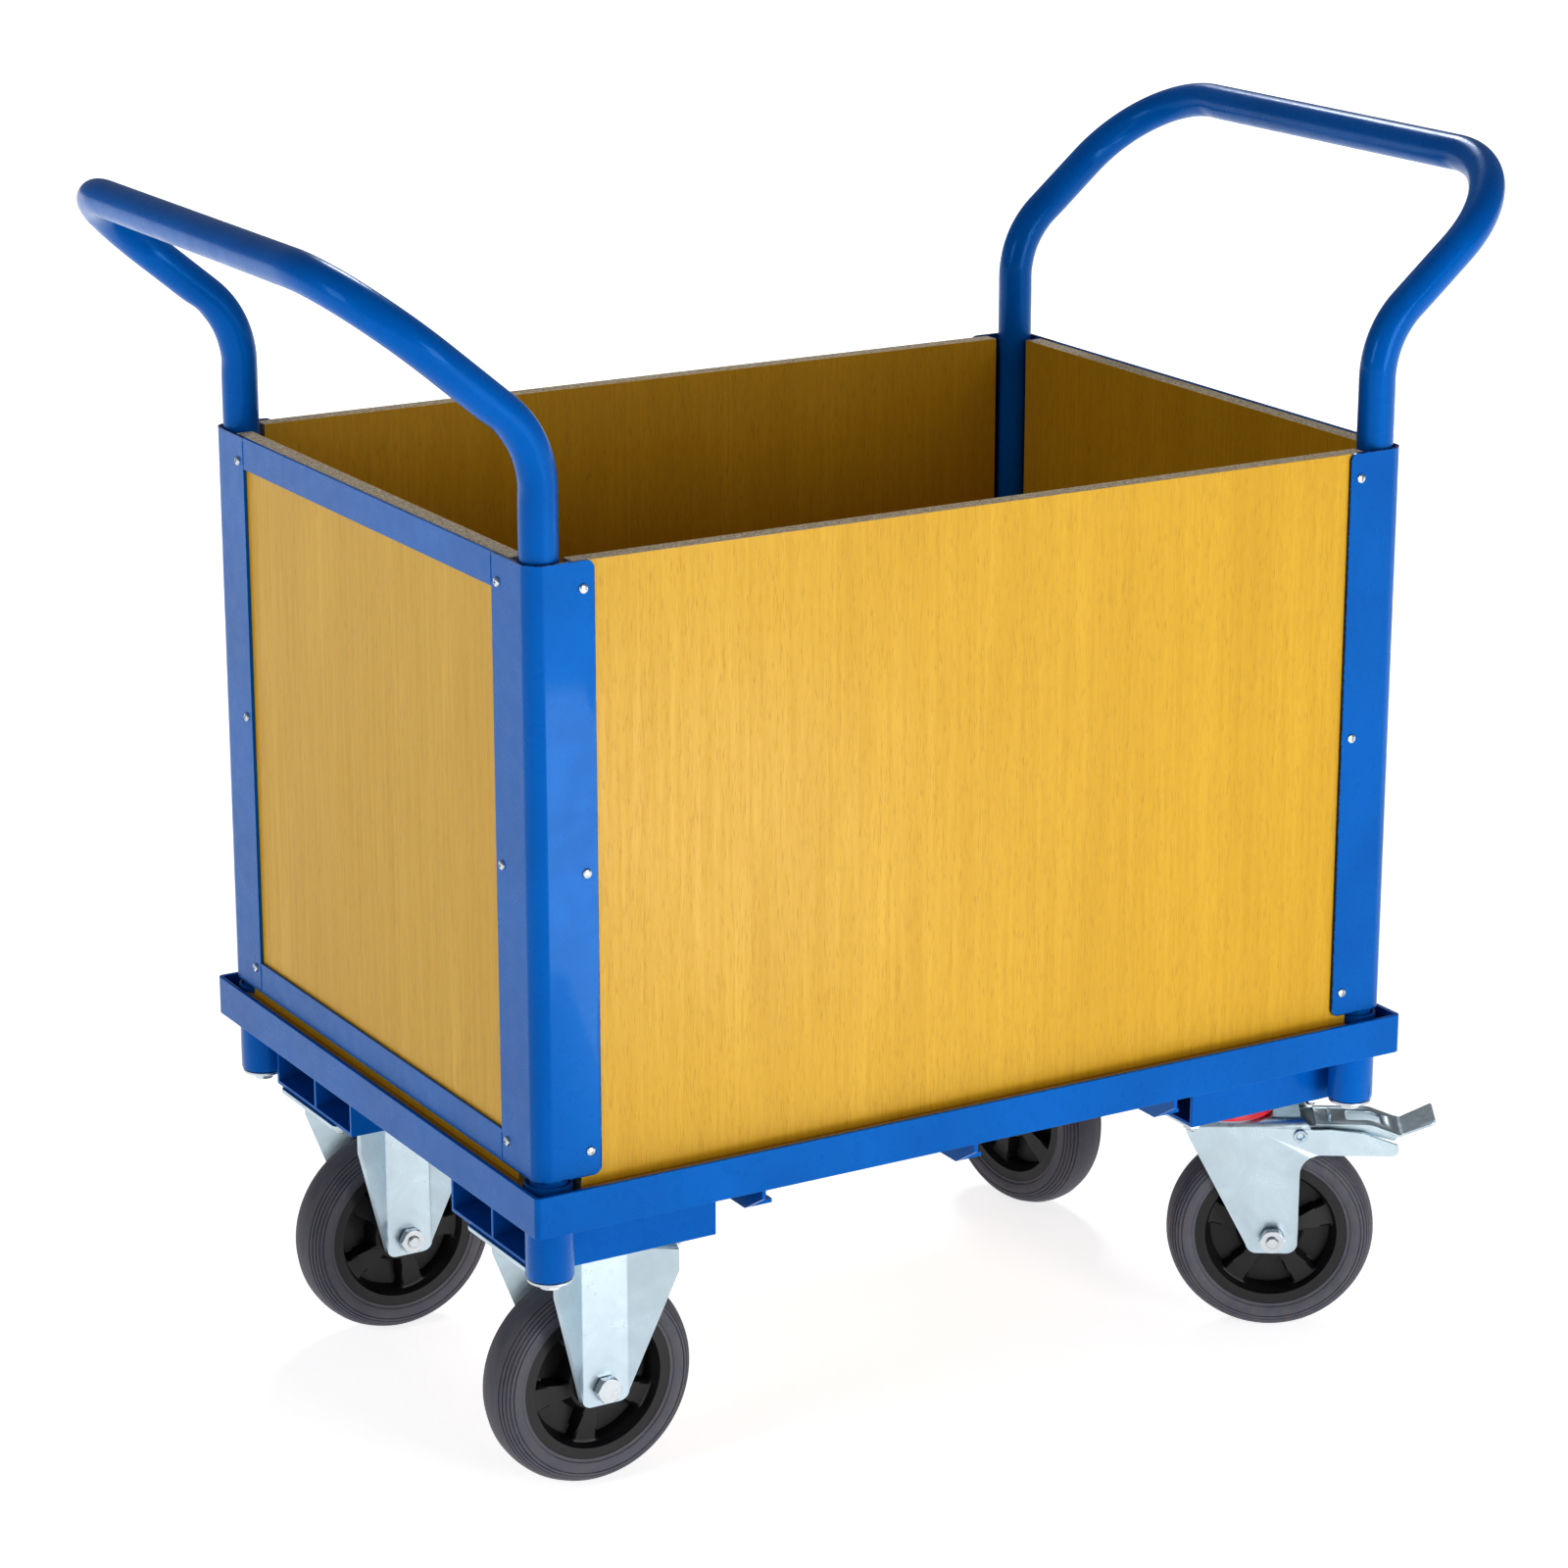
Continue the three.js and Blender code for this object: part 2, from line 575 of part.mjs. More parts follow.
function fixedCaster(corner, sy, headSide) {
  const caster = new THREE.Group();
  caster.position.set(FIXED_X, sy * FIXED_Y, 0);
  trolley.add(caster);
  const plate = box([-PLATE_HALF_LENGTH, PLATE_HALF_LENGTH], [-FIXED_PLATE_HALF_WIDTH, FIXED_PLATE_HALF_WIDTH],
    [PLATE_BOTTOM, PLATE_TOP]);
  const parts = [plate, fixedLeg(-1), fixedLeg(1), ...forkBosses(0)];
  piece(`fixed_fork_${corner}`, 'zinc', joined(parts, [axleHole(0)]), caster);
  wheel(corner, 0, caster);
  axle(corner, 0, headSide, caster);
}

function pinHole() {
  return across(disc(PEDAL_PIN_RADIUS + 0.6, -FORK_BOSS, FORK_BOSS, 16), ...PEDAL_PIVOT);
}

// legs slanting back from the axle, with two arms that reach out to the brake pedal
function swivelFork() {
  const leg = [
    [CROWN_BACK, CROWN_TOP],
    [CROWN_BACK, 212],
    ...forkFoot(SWIVEL_TRAIL),
    ...arc([90, 166], 20, 180, 90, 4),
    [156, 186],
    [166, 195],
    [163, 201],
    [130, 209],
    [98, 213.5],
    [CROWN_FRONT, CROWN_TOP],
  ];
  const legs = [side(leg, -FORK_OUTSIDE, -FORK_INSIDE), side(leg, FORK_INSIDE, FORK_OUTSIDE)];
  const crown = box([CROWN_BACK, CROWN_FRONT], [-FORK_OUTSIDE, FORK_OUTSIDE], [CROWN_BOTTOM, CROWN_TOP]);
  const race = disc(RACE_RADIUS, CROWN_BOTTOM, RACE_TOP);
  const bore = disc(KINGPIN_RADIUS + 0.6, CROWN_BOTTOM - CUT, RACE_TOP + CUT);
  const cuts = [bore, axleHole(SWIVEL_TRAIL), pinHole()];
  return joined([crown, race, ...legs, ...forkBosses(SWIVEL_TRAIL)], cuts);
}

// top plate with the upper race and the kingpin riveted over below the crown
function casterPlate() {
  const plate = box([-PLATE_HALF_LENGTH, PLATE_HALF_LENGTH], [-PLATE_HALF_WIDTH, PLATE_HALF_WIDTH],
    [PLATE_BOTTOM, PLATE_TOP]);
  const rivetTop = CROWN_BOTTOM - GAP;
  const head = turned([
    [0, rivetTop - 6], [8, rivetTop - 6], [11, rivetTop - 3], [11, rivetTop], [KINGPIN_RADIUS, rivetTop],
    [KINGPIN_RADIUS, RACE_TOP + 0.4], [RACE_RADIUS, RACE_TOP + 0.4], [RACE_RADIUS, PLATE_BOTTOM + CUT],
    [0, PLATE_BOTTOM + CUT],
  ]);
  return joined([plate, head]);
}

// channel-shaped pedal with an upturned foot tab, a window, a brake shoe and its pivot rivet
function brakePedal() {
  const tread = side([
    [84, 212.5], [100, 213.2], [137, 212.7], [160, 204.2], [168, 201.6], [200, 218.6],
    [198.6, 221.3], [167.4, 204.8], [160.8, 207.2], [137.5, 215.9], [100, 216.4], [84, 215.7],
  ], -PEDAL_HALF_WIDTH, PEDAL_HALF_WIDTH);
  const lip = [
    [59, 200.5], [59, 211.5], [84, 215.7], [100, 216.4], [137.5, 215.9], [160.8, 207.2],
    [168, 202.5], [160, 199], [137, 205], [100, 200], [80, 199],
  ];
  const lips = [
    side(lip, -PEDAL_HALF_WIDTH, SHEET - PEDAL_HALF_WIDTH),
    side(lip, PEDAL_HALF_WIDTH - SHEET, PEDAL_HALF_WIDTH),
  ];
  const shoe = side([[90, 196], [95, 196], [95, 214], [90, 214]], CUT - PEDAL_HALF_WIDTH, PEDAL_HALF_WIDTH - CUT);
  const rivetHead = FORK_OUTSIDE + 0.4;
  const pin = across(turned([
    [0, -rivetHead - 2.5], [5, -rivetHead - 2.5], [7, -rivetHead], [PEDAL_PIN_RADIUS, -rivetHead],
    [PEDAL_PIN_RADIUS, rivetHead], [7, rivetHead], [5, rivetHead + 2.5], [0, rivetHead + 2.5],
  ], 16), ...PEDAL_PIVOT);
  const window = box([116, 148], [-12, 12], [205, 225]);
  return joined([tread, ...lips, shoe, pin], [window]);
}

function swivelCaster(corner, sy, heading, headSide) {
  const head = new THREE.Group();
  head.position.set(SWIVEL_X, sy * SWIVEL_Y, 0);
  trolley.add(head);
  const lowerFork = new THREE.Group();
  lowerFork.rotation.z = THREE.MathUtils.degToRad(heading);
  head.add(lowerFork);
  piece(`caster_plate_${corner}`, 'zinc', casterPlate(), head);
  const seal = ring(SEAL_INNER_RADIUS, SEAL_OUTER_RADIUS, SEAL_BOTTOM, PLATE_BOTTOM - GAP);
  piece(`seal_ring_${corner}`, 'red', seal, head);
  piece(`swivel_fork_${corner}`, 'zinc', swivelFork(), lowerFork);
  wheel(corner, SWIVEL_TRAIL, lowerFork);
  axle(corner, SWIVEL_TRAIL, headSide, lowerFork);
  piece(`brake_pedal_${corner}`, 'zinc', brakePedal(), lowerFork);
}

baseFrame();
underframe();
deckBoard();
walls();
handles();
fixedCaster('front_left', -1, -1);
fixedCaster('back_left', 1, 1);
swivelCaster('front_right', -1, SWIVEL_HEADING.front, 1);
swivelCaster('back_right', 1, SWIVEL_HEADING.back, 1);

export default trolley;
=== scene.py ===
"""Looks of a four-walled box trolley: blue powder-coated steel, beech-effect boards, zinc-plated
casters with grey rubber tyres. Shapes are worked out in millimetres from the frame's own boxes."""
import json
import math
import random

import bmesh
import bpy
from mathutils import Matrix, Vector


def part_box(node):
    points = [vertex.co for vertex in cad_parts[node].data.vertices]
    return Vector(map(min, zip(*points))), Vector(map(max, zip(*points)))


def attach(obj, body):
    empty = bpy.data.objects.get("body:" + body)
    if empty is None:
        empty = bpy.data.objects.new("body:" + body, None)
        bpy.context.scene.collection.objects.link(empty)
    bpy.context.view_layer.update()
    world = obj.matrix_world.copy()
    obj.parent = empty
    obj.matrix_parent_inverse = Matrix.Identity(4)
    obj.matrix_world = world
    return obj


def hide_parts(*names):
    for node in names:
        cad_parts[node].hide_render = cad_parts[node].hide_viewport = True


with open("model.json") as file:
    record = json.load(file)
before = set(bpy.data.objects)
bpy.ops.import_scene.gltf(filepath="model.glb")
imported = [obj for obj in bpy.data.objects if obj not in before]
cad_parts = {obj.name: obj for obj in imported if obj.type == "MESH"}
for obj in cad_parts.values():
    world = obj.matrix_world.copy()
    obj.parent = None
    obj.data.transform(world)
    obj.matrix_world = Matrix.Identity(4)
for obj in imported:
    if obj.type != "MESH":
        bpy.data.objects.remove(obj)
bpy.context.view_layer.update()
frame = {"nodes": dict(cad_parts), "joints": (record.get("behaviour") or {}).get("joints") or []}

MM = 0.001
TROLLEY = "trolley"
ENDS = {"left": -1, "right": 1}
SIDES = {"front": -1, "back": 1}
CORNERS = {f"{side}_{end}": (ENDS[end], SIDES[side]) for side in SIDES for end in ENDS}
FIXED = ("front_left", "back_left")
SWIVEL = ("front_right", "back_right")


def span(node):
    """Lowest and highest corner of a CAD node, in millimetres."""
    low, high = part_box(node)
    return low / MM, high / MM


def centre(node):
    low, high = span(node)
    return (low + high) / 2


def joint(name):
    return next(row for row in frame["joints"] if row["name"] == name)


# ---- sizes, in millimetres ----------------------------------------------------------------------
BASE_LOW, BASE_HIGH = span("base_rail_front")[0], span("base_rail_back")[1]
BASE_HALF_LENGTH, BASE_HALF_WIDTH = BASE_HIGH.x, BASE_HIGH.y
ANGLE_SHELF, ANGLE_THICKNESS = 40.0, 4.0
BRACKET_OUTER_Y = span("caster_bracket_back_left")[1].y
SEAM_STARTS, SEAM_LENGTH = (8, 72, 136), 34  # weld seams that hold a bracket to the base
BASE_CORNER = 5.0  # radius of the ground-down weld at the outer corners
SOCKET_LOW, SOCKET_HIGH = span("corner_socket_back_right")
SOCKET_RADIUS = (SOCKET_HIGH.x - SOCKET_LOW.x) / 2
LEG_X, LEG_Y, _ = centre("corner_socket_back_right")
POST_LOW, POST_HIGH = span("corner_post_back_right")
SHEET = 3.0
POST_BEND = 15.0
END_BAR_HEIGHT = 30
SCREW_HEIGHTS, SCREW_INSET = (366.0, 615.0, 861.0), 11
HANDLE_LOW, HANDLE_HIGH = span("push_handle_right")
HANDLE_RADIUS = 16.85
LOWER_BEND_Z, LOWER_BEND_RADIUS, GRIP_BEND_RADIUS = 986.0, 85.0, 105.0
GRIP_X, GRIP_Z = HANDLE_HIGH.x - HANDLE_RADIUS, HANDLE_HIGH.z - HANDLE_RADIUS
RIM_RADIUS = 73.0
PLATE_LOW, PLATE_HIGH = span("caster_plate_front_right")
PLATE_TOP = PLATE_HIGH.z
PLATE_THICKNESS = 4.0
PLATE_BOTTOM = PLATE_TOP - PLATE_THICKNESS
PLATE_HALF_LENGTH, SWIVEL_PLATE_HALF_WIDTH = [(PLATE_HIGH[i] - PLATE_LOW[i]) / 2 for i in (0, 1)]
FIXED_LOW, FIXED_HIGH = span("fixed_fork_front_left")
FIXED_PLATE_HALF_WIDTH = (FIXED_HIGH.y - FIXED_LOW.y) / 2
FORK_MIDDLE, FORK_SHEET = 31.0, 4.0
FORK_FOOT, FOOT_CORNER, FOOT_HALF = 84.0, 11.0, 25.0
AXLE_RADIUS, AXLE_HEX_RADIUS = 6.0, 12.7
PLATE_BOLT_X, PLATE_BOLT_Y = 70, 40
TRAIL = 45.0
CROWN_TOP = 221.5


# ---- mesh building ------------------------------------------------------------------------------
def to_mesh(bm, name="mesh"):
    bmesh.ops.recalc_face_normals(bm, faces=bm.faces)
    mesh = bpy.data.meshes.new(name)
    bm.to_mesh(mesh)
    bm.free()
    return mesh


def scratch(mesh):
    obj = bpy.data.objects.new("scratch", mesh)
    bpy.context.scene.collection.objects.link(obj)
    return obj


def applied(mesh, *modifiers):
    """The mesh with modifiers applied, each given as (type, settings)."""
    obj = scratch(mesh)
    for kind, settings in modifiers:
        modifier = obj.modifiers.new(kind, kind)
        for key, value in settings.items():
            setattr(modifier, key, value)
    bpy.context.view_layer.update()
    evaluated = obj.evaluated_get(bpy.context.evaluated_depsgraph_get())
    result = bpy.data.meshes.new_from_object(evaluated)
    bpy.data.objects.remove(obj)
    return result


def smooth(mesh, degrees=32):
    mesh.shade_smooth()
    mesh.set_sharp_from_angle(angle=math.radians(degrees))
    return mesh


def bevelled(mesh, width, segments=2, degrees=30):
    """Rounds the edges and keeps the flats flat in the shading."""
    bevel = ("BEVEL", dict(width=width, segments=segments, limit_method="ANGLE",
                           angle_limit=math.radians(degrees), use_clamp_overlap=True))
    rounded = smooth(applied(mesh, bevel), 40)
    return applied(rounded, ("WEIGHTED_NORMAL", dict(keep_sharp=True, weight=80)))


def moved(mesh, matrix):
    mesh.transform(matrix)
    if matrix.determinant() < 0:
        mesh.flip_normals()
    return mesh


def merged(*meshes):
    bm = bmesh.new()
    for mesh in meshes:
        bm.from_mesh(mesh)
    joined = bpy.data.meshes.new("merged")
    bm.to_mesh(joined)
    bm.free()
    return joined


def carved(mesh, *cutters, operation="DIFFERENCE"):
    for cutter in cutters:
        tool = scratch(cutter)
        mesh = applied(mesh, ("BOOLEAN", dict(object=tool, operation=operation, solver="EXACT")))
        bpy.data.objects.remove(tool)
    return mesh


def prism(outline, low, high):
    """A straight extrusion along Z of an outline of (x, y) points."""
    bm = bmesh.new()
    rings = [[bm.verts.new((x, y, z)) for x, y in outline] for z in (low, high)]
    bm.faces.new(rings[0][::-1])
    bm.faces.new(rings[1])
    for i in range(len(outline)):
        j = (i + 1) % len(outline)
        bm.faces.new((rings[0][i], rings[0][j], rings[1][j], rings[1][i]))
    return to_mesh(bm)


def block(x, y, z):
    return prism([(x[0], y[0]), (x[1], y[0]), (x[1], y[1]), (x[0], y[1])], z[0], z[1])


def circle(radius, sides):
    return [(radius * math.cos(2 * math.pi * i / sides), radius * math.sin(2 * math.pi * i / sides))
            for i in range(sides)]


def lathe(profile, steps=64):
    """Turns (radius, height) points round Z. A profile that ends where it starts makes a ring."""
    bm = bmesh.new()
    closed = profile[0] == profile[-1]
    points = profile[:-1] if closed else profile
    rings = []
    for radius, height in points:
        if radius < 1e-6:
            rings.append([bm.verts.new((0, 0, height))] * steps)
            continue
        rings.append([bm.verts.new((x, y, height)) for x, y in circle(radius, steps)])
    pairs = list(zip(rings, rings[1:]))
    if closed:
        pairs.append((rings[-1], rings[0]))
    for low, high in pairs:
        for i in range(steps):
            j = (i + 1) % steps
            corners = list(dict.fromkeys((low[i], low[j], high[j], high[i])))
            if len(corners) > 2:
                bm.faces.new(corners)
    return to_mesh(bm)


def swept(path, ring, closed=False):
    """Sweeps a ring of (a, b) points along a path. ring is called with the share of the way along the
    path.
    """
    bm = bmesh.new()
    count = len(path)
    tangents = []
    for i in range(count):
        before = path[i - 1] if closed or i else path[0]
        after = path[(i + 1) % count] if closed or i < count - 1 else path[-1]
        tangents.append((after - before).normalized())
    helper = Vector((0, 0, 1)) if abs(tangents[0].z) < 0.9 else Vector((1, 0, 0))
    side = tangents[0].cross(helper).normalized()
    rings = []
    for i, (point, tangent) in enumerate(zip(path, tangents)):
        side = (side - tangent * side.dot(tangent)).normalized()
        up = tangent.cross(side)
        rings.append([bm.verts.new(point + side * a + up * b) for a, b in ring(i / max(count - 1, 1))])
    sides = len(rings[0])
    pairs = list(zip(rings, rings[1:]))
    if closed:
        pairs.append((rings[-1], rings[0]))
    else:
        bm.faces.new(rings[0][::-1])
        bm.faces.new(rings[-1])
    for low, high in pairs:
        for i in range(sides):
            j = (i + 1) % sides
            bm.faces.new((low[i], low[j], high[j], high[i]))
    return to_mesh(bm)


def arc(middle, radius, start, stop, steps):
    """Points on an arc, from the start angle to the stop angle, in degrees."""
    angles = [math.radians(start + (stop - start) * i / steps) for i in range(steps + 1)]
    return [(middle[0] + radius * math.cos(a), middle[1] + radius * math.sin(a)) for a in angles]


def folded(outline, place, cuts_u=(), cuts_v=(), thickness=SHEET, edge=0.4):
    """Sheet metal: a flat outline of (u, v) points, creased along lines and put in place by a rule."""
    bm = bmesh.new()
    bm.faces.new([bm.verts.new((u, v, 0)) for u, v in outline])
    for axis, cuts in ((0, cuts_u), (1, cuts_v)):
        for value in cuts:
            at, normal = Vector((0, 0, 0)), Vector((0, 0, 0))
            at[axis], normal[axis] = value, 1
            geometry = bm.verts[:] + bm.edges[:] + bm.faces[:]
            bmesh.ops.bisect_plane(bm, geom=geometry, plane_co=at, plane_no=normal)
    for vert in bm.verts:
        vert.co = Vector(place(vert.co.x, vert.co.y))
    thick = ("SOLIDIFY", dict(thickness=thickness, offset=0, use_even_offset=True))
    return bevelled(applied(to_mesh(bm), thick), edge, segments=2, degrees=50)


def cad_copy(node, edge, segments=2):
    """The CAD mesh of a node in millimetres, its triangles joined into flats and its edges rounded."""
    bm = bmesh.new()
    bm.from_mesh(frame["nodes"][node].data)
    bmesh.ops.scale(bm, vec=(1 / MM,) * 3, verts=bm.verts)
    bmesh.ops.remove_doubles(bm, verts=bm.verts, dist=0.01)
    bmesh.ops.dissolve_limit(bm, angle_limit=math.radians(1), verts=bm.verts, edges=bm.edges)
    return bevelled(to_mesh(bm), edge, segments)


def along_y():
    """Turns a body made round Z so that its axis lies along Y."""
    return Matrix.Rotation(math.radians(-90), 4, "X")


def heading_matrix(joint_row):
    """The frame of a hinge across a wheel: X the way the wheel trails, Y along the axle."""
    x, y, z = joint_row["pos_m"]
    across, along = joint_row["axis"][1], -joint_row["axis"][0]
    return Matrix.Translation((x, y, z)) @ Matrix.Rotation(math.atan2(along, across), 4, "Z")


def piece(name, mesh, body, slot, *looks, replaces=(), frame_matrix=None):
    """Adds a mesh built in millimetres as a named piece that rides on a CAD body."""
    mesh.transform(Matrix.Scale(MM, 4))
    if frame_matrix is not None:
        mesh.transform(frame_matrix.to_3x3().to_4x4())
    mesh.name = name
    mesh.materials.clear()
    for look in looks:
        mesh.materials.append(look)
    obj = bpy.data.objects.new(name, mesh)
    bpy.context.scene.collection.objects.link(obj)
    if frame_matrix is not None:
        obj.location = frame_matrix.translation
    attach(obj, body)
    if replaces:
        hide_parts(*replaces)
    return obj


# ---- materials ----------------------------------------------------------------------------------
class Look:
    """A Principled material with short calls for the nodes that feed it."""

    def __init__(self, name, **sockets):
        self.material = bpy.data.materials.new(name)
        self.material.use_nodes = True
        self.tree = self.material.node_tree
        self.shader = self.tree.nodes["Principled BSDF"]
        for key, value in sockets.items():
            self.shader.inputs[key.replace("_", " ")].default_value = value
        self.place = self.node("ShaderNodeTexCoord").outputs["Object"]

    def node(self, kind, inputs=None, **settings):
        made = self.tree.nodes.new(kind)
        for key, value in settings.items():
            setattr(made, key, value)
        for key, value in (inputs or {}).items():
            if isinstance(value, bpy.types.NodeSocket):
                self.tree.links.new(value, made.inputs[key])
            else:
                made.inputs[key].default_value = value
        return made

    def stretched(self, scale, turn=(0, 0, 0)):
        inputs = {"Vector": self.place, "Scale": scale, "Rotation": turn}
        return self.node("ShaderNodeMapping", inputs).outputs[0]

    def noise(self, scale, detail=3.0, roughness=0.5, place=None, distortion=0.0):
        inputs = {"Vector": place or self.place, "Scale": scale, "Detail": detail,
                  "Roughness": roughness, "Distortion": distortion}
        return self.node("ShaderNodeTexNoise", inputs).outputs[0]

    def levels(self, value, low, high, out_low=0.0, out_high=1.0):
        inputs = {"Value": value, "From Min": low, "From Max": high,
                  "To Min": out_low, "To Max": out_high}
        return self.node("ShaderNodeMapRange", inputs).outputs[0]

    def math(self, operation, a, b=0.5):
        return self.node("ShaderNodeMath", {0: a, 1: b}, operation=operation).outputs[0]

    def mix(self, share, a, b):
        factor, first, second = 0, 6, 7  # the sockets a Mix node uses for colours
        made = self.node("ShaderNodeMix", {factor: share, first: a, second: b}, data_type="RGBA")
        return made.outputs[2]

    def feed(self, socket, value):
        self.tree.links.new(value, self.shader.inputs[socket])

    def bump(self, *layers):
        """Layers of (height, distance in metres)."""
        normal = None
        for height, distance in layers:
            inputs = {"Height": height, "Distance": distance, "Strength": 1.0}
            if normal is not None:
                inputs["Normal"] = normal
            normal = self.node("ShaderNodeBump", inputs).outputs[0]
        self.feed("Normal", normal)


def rgb(red, green, blue):
    return (red, green, blue, 1.0)


def blue_paint():
    look = Look("blue_powder_coat", Coat_Weight=0.11, Coat_Roughness=0.06, IOR=1.5,
                Specular_IOR_Level=0.4, Specular_Tint=rgb(0.02, 0.35, 1.0))
    drift = look.levels(look.noise(9.0, 4.0), 0.3, 0.7)
    paint = look.mix(drift, rgb(0.0, 0.098, 0.38), rgb(0.0, 0.122, 0.46))
    wear = look.node("ShaderNodeAttribute", attribute_name="wear").outputs["Fac"]
    fleck = look.noise(420.0, 2.0, 0.6)
    chipped = look.levels(look.math("MULTIPLY", wear, fleck), 0.36, 0.42)
    dust = look.levels(look.noise(240.0, 2.0, 0.7), 0.74, 0.78, 0.0, 0.35)
    dusty = look.mix(dust, paint, rgb(0.012, 0.10, 0.44))
    look.feed("Base Color", look.mix(chipped, dusty, rgb(0.006, 0.012, 0.05)))
    look.feed("Roughness", look.levels(look.noise(60.0, 3.0), 0.3, 0.7, 0.24, 0.36))
    look.bump((look.noise(38.0, 2.0), 0.0002), (look.noise(330.0, 2.0), 0.00004))
    return look.material


def laminate(name, light, mid, dark, turn=(0, 0, 0), shine=0.34):
    """Beech effect: long fine streaks up the board, soft bands and short dark dashes."""
    look = Look(name, Coat_Weight=0.08, Coat_Roughness=0.2, Specular_IOR_Level=0.3)
    bands, streaks = look.stretched((16, 16, 1.3), turn), look.stretched((210, 210, 6), turn)
    threads, dashes = look.stretched((900, 900, 45), turn), look.stretched((1000, 1000, 75), turn)
    broad = look.levels(look.noise(1.0, 3.0, 0.5, bands, 0.4), 0.32, 0.68)
    streak = look.levels(look.noise(1.0, 5.0, 0.62, streaks, 0.1), 0.34, 0.66)
    fine = look.levels(look.noise(1.0, 2.0, 0.5, threads), 0.35, 0.65)
    dash = look.levels(look.noise(1.0, 1.0, 0.4, dashes), 0.60, 0.70)
    grain = look.mix(look.math("MULTIPLY", streak, 0.60), light, mid)
    grain = look.mix(look.math("MULTIPLY", broad, 0.55), grain, mid)
    grain = look.mix(look.math("MULTIPLY", fine, 0.10), grain, dark)
    grain = look.mix(look.math("MULTIPLY", dash, 0.26), grain, dark)
    look.feed("Base Color", grain)
    look.feed("Roughness", look.levels(streak, 0.0, 1.0, shine, shine + 0.10))
    look.bump((dash, -0.00006), (fine, 0.00003))
    return look.material


def chipboard():
    look = Look("chipboard_edge", Specular_IOR_Level=0.25)
    flake = look.noise(1.0, 3.0, 0.7, look.stretched((260, 260, 700)))
    speck = look.levels(look.noise(620.0, 2.0, 0.6), 0.52, 0.62)
    crumbs = look.mix(look.levels(flake, 0.38, 0.62), rgb(0.60, 0.46, 0.29), rgb(0.93, 0.82, 0.63))
    look.feed("Base Color", look.mix(look.math("MULTIPLY", speck, 0.6), crumbs, rgb(0.16, 0.10, 0.05)))
    look.feed("Roughness", look.levels(flake, 0.3, 0.7, 0.75, 0.95))
    look.bump((flake, 0.0006), (speck, -0.0004))
    return look.material


def zinc(name, tint, shine):
    """Zinc plating: bluish silver with soft clouding, faint rolling lines and small scuffs."""
    look = Look(name, Metallic=1.0)
    cloud = look.levels(look.noise(22.0, 4.0, 0.6, distortion=0.6), 0.3, 0.7)
    spangle = look.levels(look.noise(120.0, 3.0, 0.6), 0.35, 0.65)
    rolling = look.noise(1.0, 3.0, 0.6, look.stretched((60, 60, 900)))
    dull = [channel * 0.82 for channel in tint]
    shade = look.mix(cloud, rgb(*dull), rgb(*tint))
    look.feed("Base Color", look.mix(look.math("MULTIPLY", spangle, 0.18), shade, rgb(0.52, 0.60, 0.66)))
    clouded = look.levels(cloud, 0.0, 1.0, shine + 0.09, shine)
    look.feed("Roughness", look.math("ADD", clouded, look.math("MULTIPLY", spangle, 0.07)))
    scuff = look.levels(look.noise(70.0, 5.0, 0.75), 0.62, 0.70)
    look.bump((rolling, 0.00004), (scuff, -0.00005), (look.noise(45.0, 2.0), 0.00025))
    return look.material


def rubber():
    look = Look("grey_rubber", Specular_IOR_Level=0.35)
    mottled = look.levels(look.noise(60.0, 4.0, 0.6), 0.3, 0.7)
    scuffed = look.levels(look.noise(1.0, 4.0, 0.6, look.stretched((30, 240, 30))), 0.45, 0.75)
    tone = look.mix(mottled, rgb(0.078, 0.080, 0.100), rgb(0.104, 0.104, 0.126))
    brown = look.math("MULTIPLY", scuffed, 0.35)
    look.feed("Base Color", look.mix(brown, tone, rgb(0.16, 0.138, 0.122)))
    look.feed("Roughness", look.levels(mottled, 0.0, 1.0, 0.50, 0.66))
    look.bump((look.noise(700.0, 2.0), 0.00010), (look.noise(90.0, 3.0), 0.0002))
    return look.material


def moulded(name, colour, rough, grain=900.0):
    look = Look(name)
    worn = look.levels(look.noise(45.0, 4.0), 0.3, 0.7)
    lighter = [channel * 1.5 + 0.002 for channel in colour]
    look.feed("Base Color", look.mix(worn, rgb(*colour), rgb(*lighter)))
    look.feed("Roughness", look.levels(worn, 0.0, 1.0, rough, rough + 0.12))
    look.bump((look.noise(grain, 2.0), 0.00006))
    return look.material


BLUE = blue_paint()
WALL_LAMINATE = laminate("beech_laminate", rgb(0.70, 0.415, 0.026), rgb(0.57, 0.315, 0.008),
                         rgb(0.26, 0.125, 0.006))
DECK_LAMINATE = laminate("deck_laminate", rgb(0.66, 0.38, 0.08), rgb(0.52, 0.28, 0.05),
                         rgb(0.24, 0.12, 0.02), turn=(0, math.radians(90), 0), shine=0.42)
CHIPBOARD = chipboard()
ZINC_SHEET = zinc("zinc_plated_sheet", (0.58, 0.70, 0.77), 0.24)
ZINC_FASTENER = zinc("zinc_plated_fastener", (0.68, 0.73, 0.76), 0.20)
RUBBER = rubber()
BLACK_PLASTIC = moulded("black_plastic", (0.004, 0.004, 0.005), 0.42)
RED_PLASTIC = moulded("red_plastic", (0.46, 0.008, 0.02), 0.30)


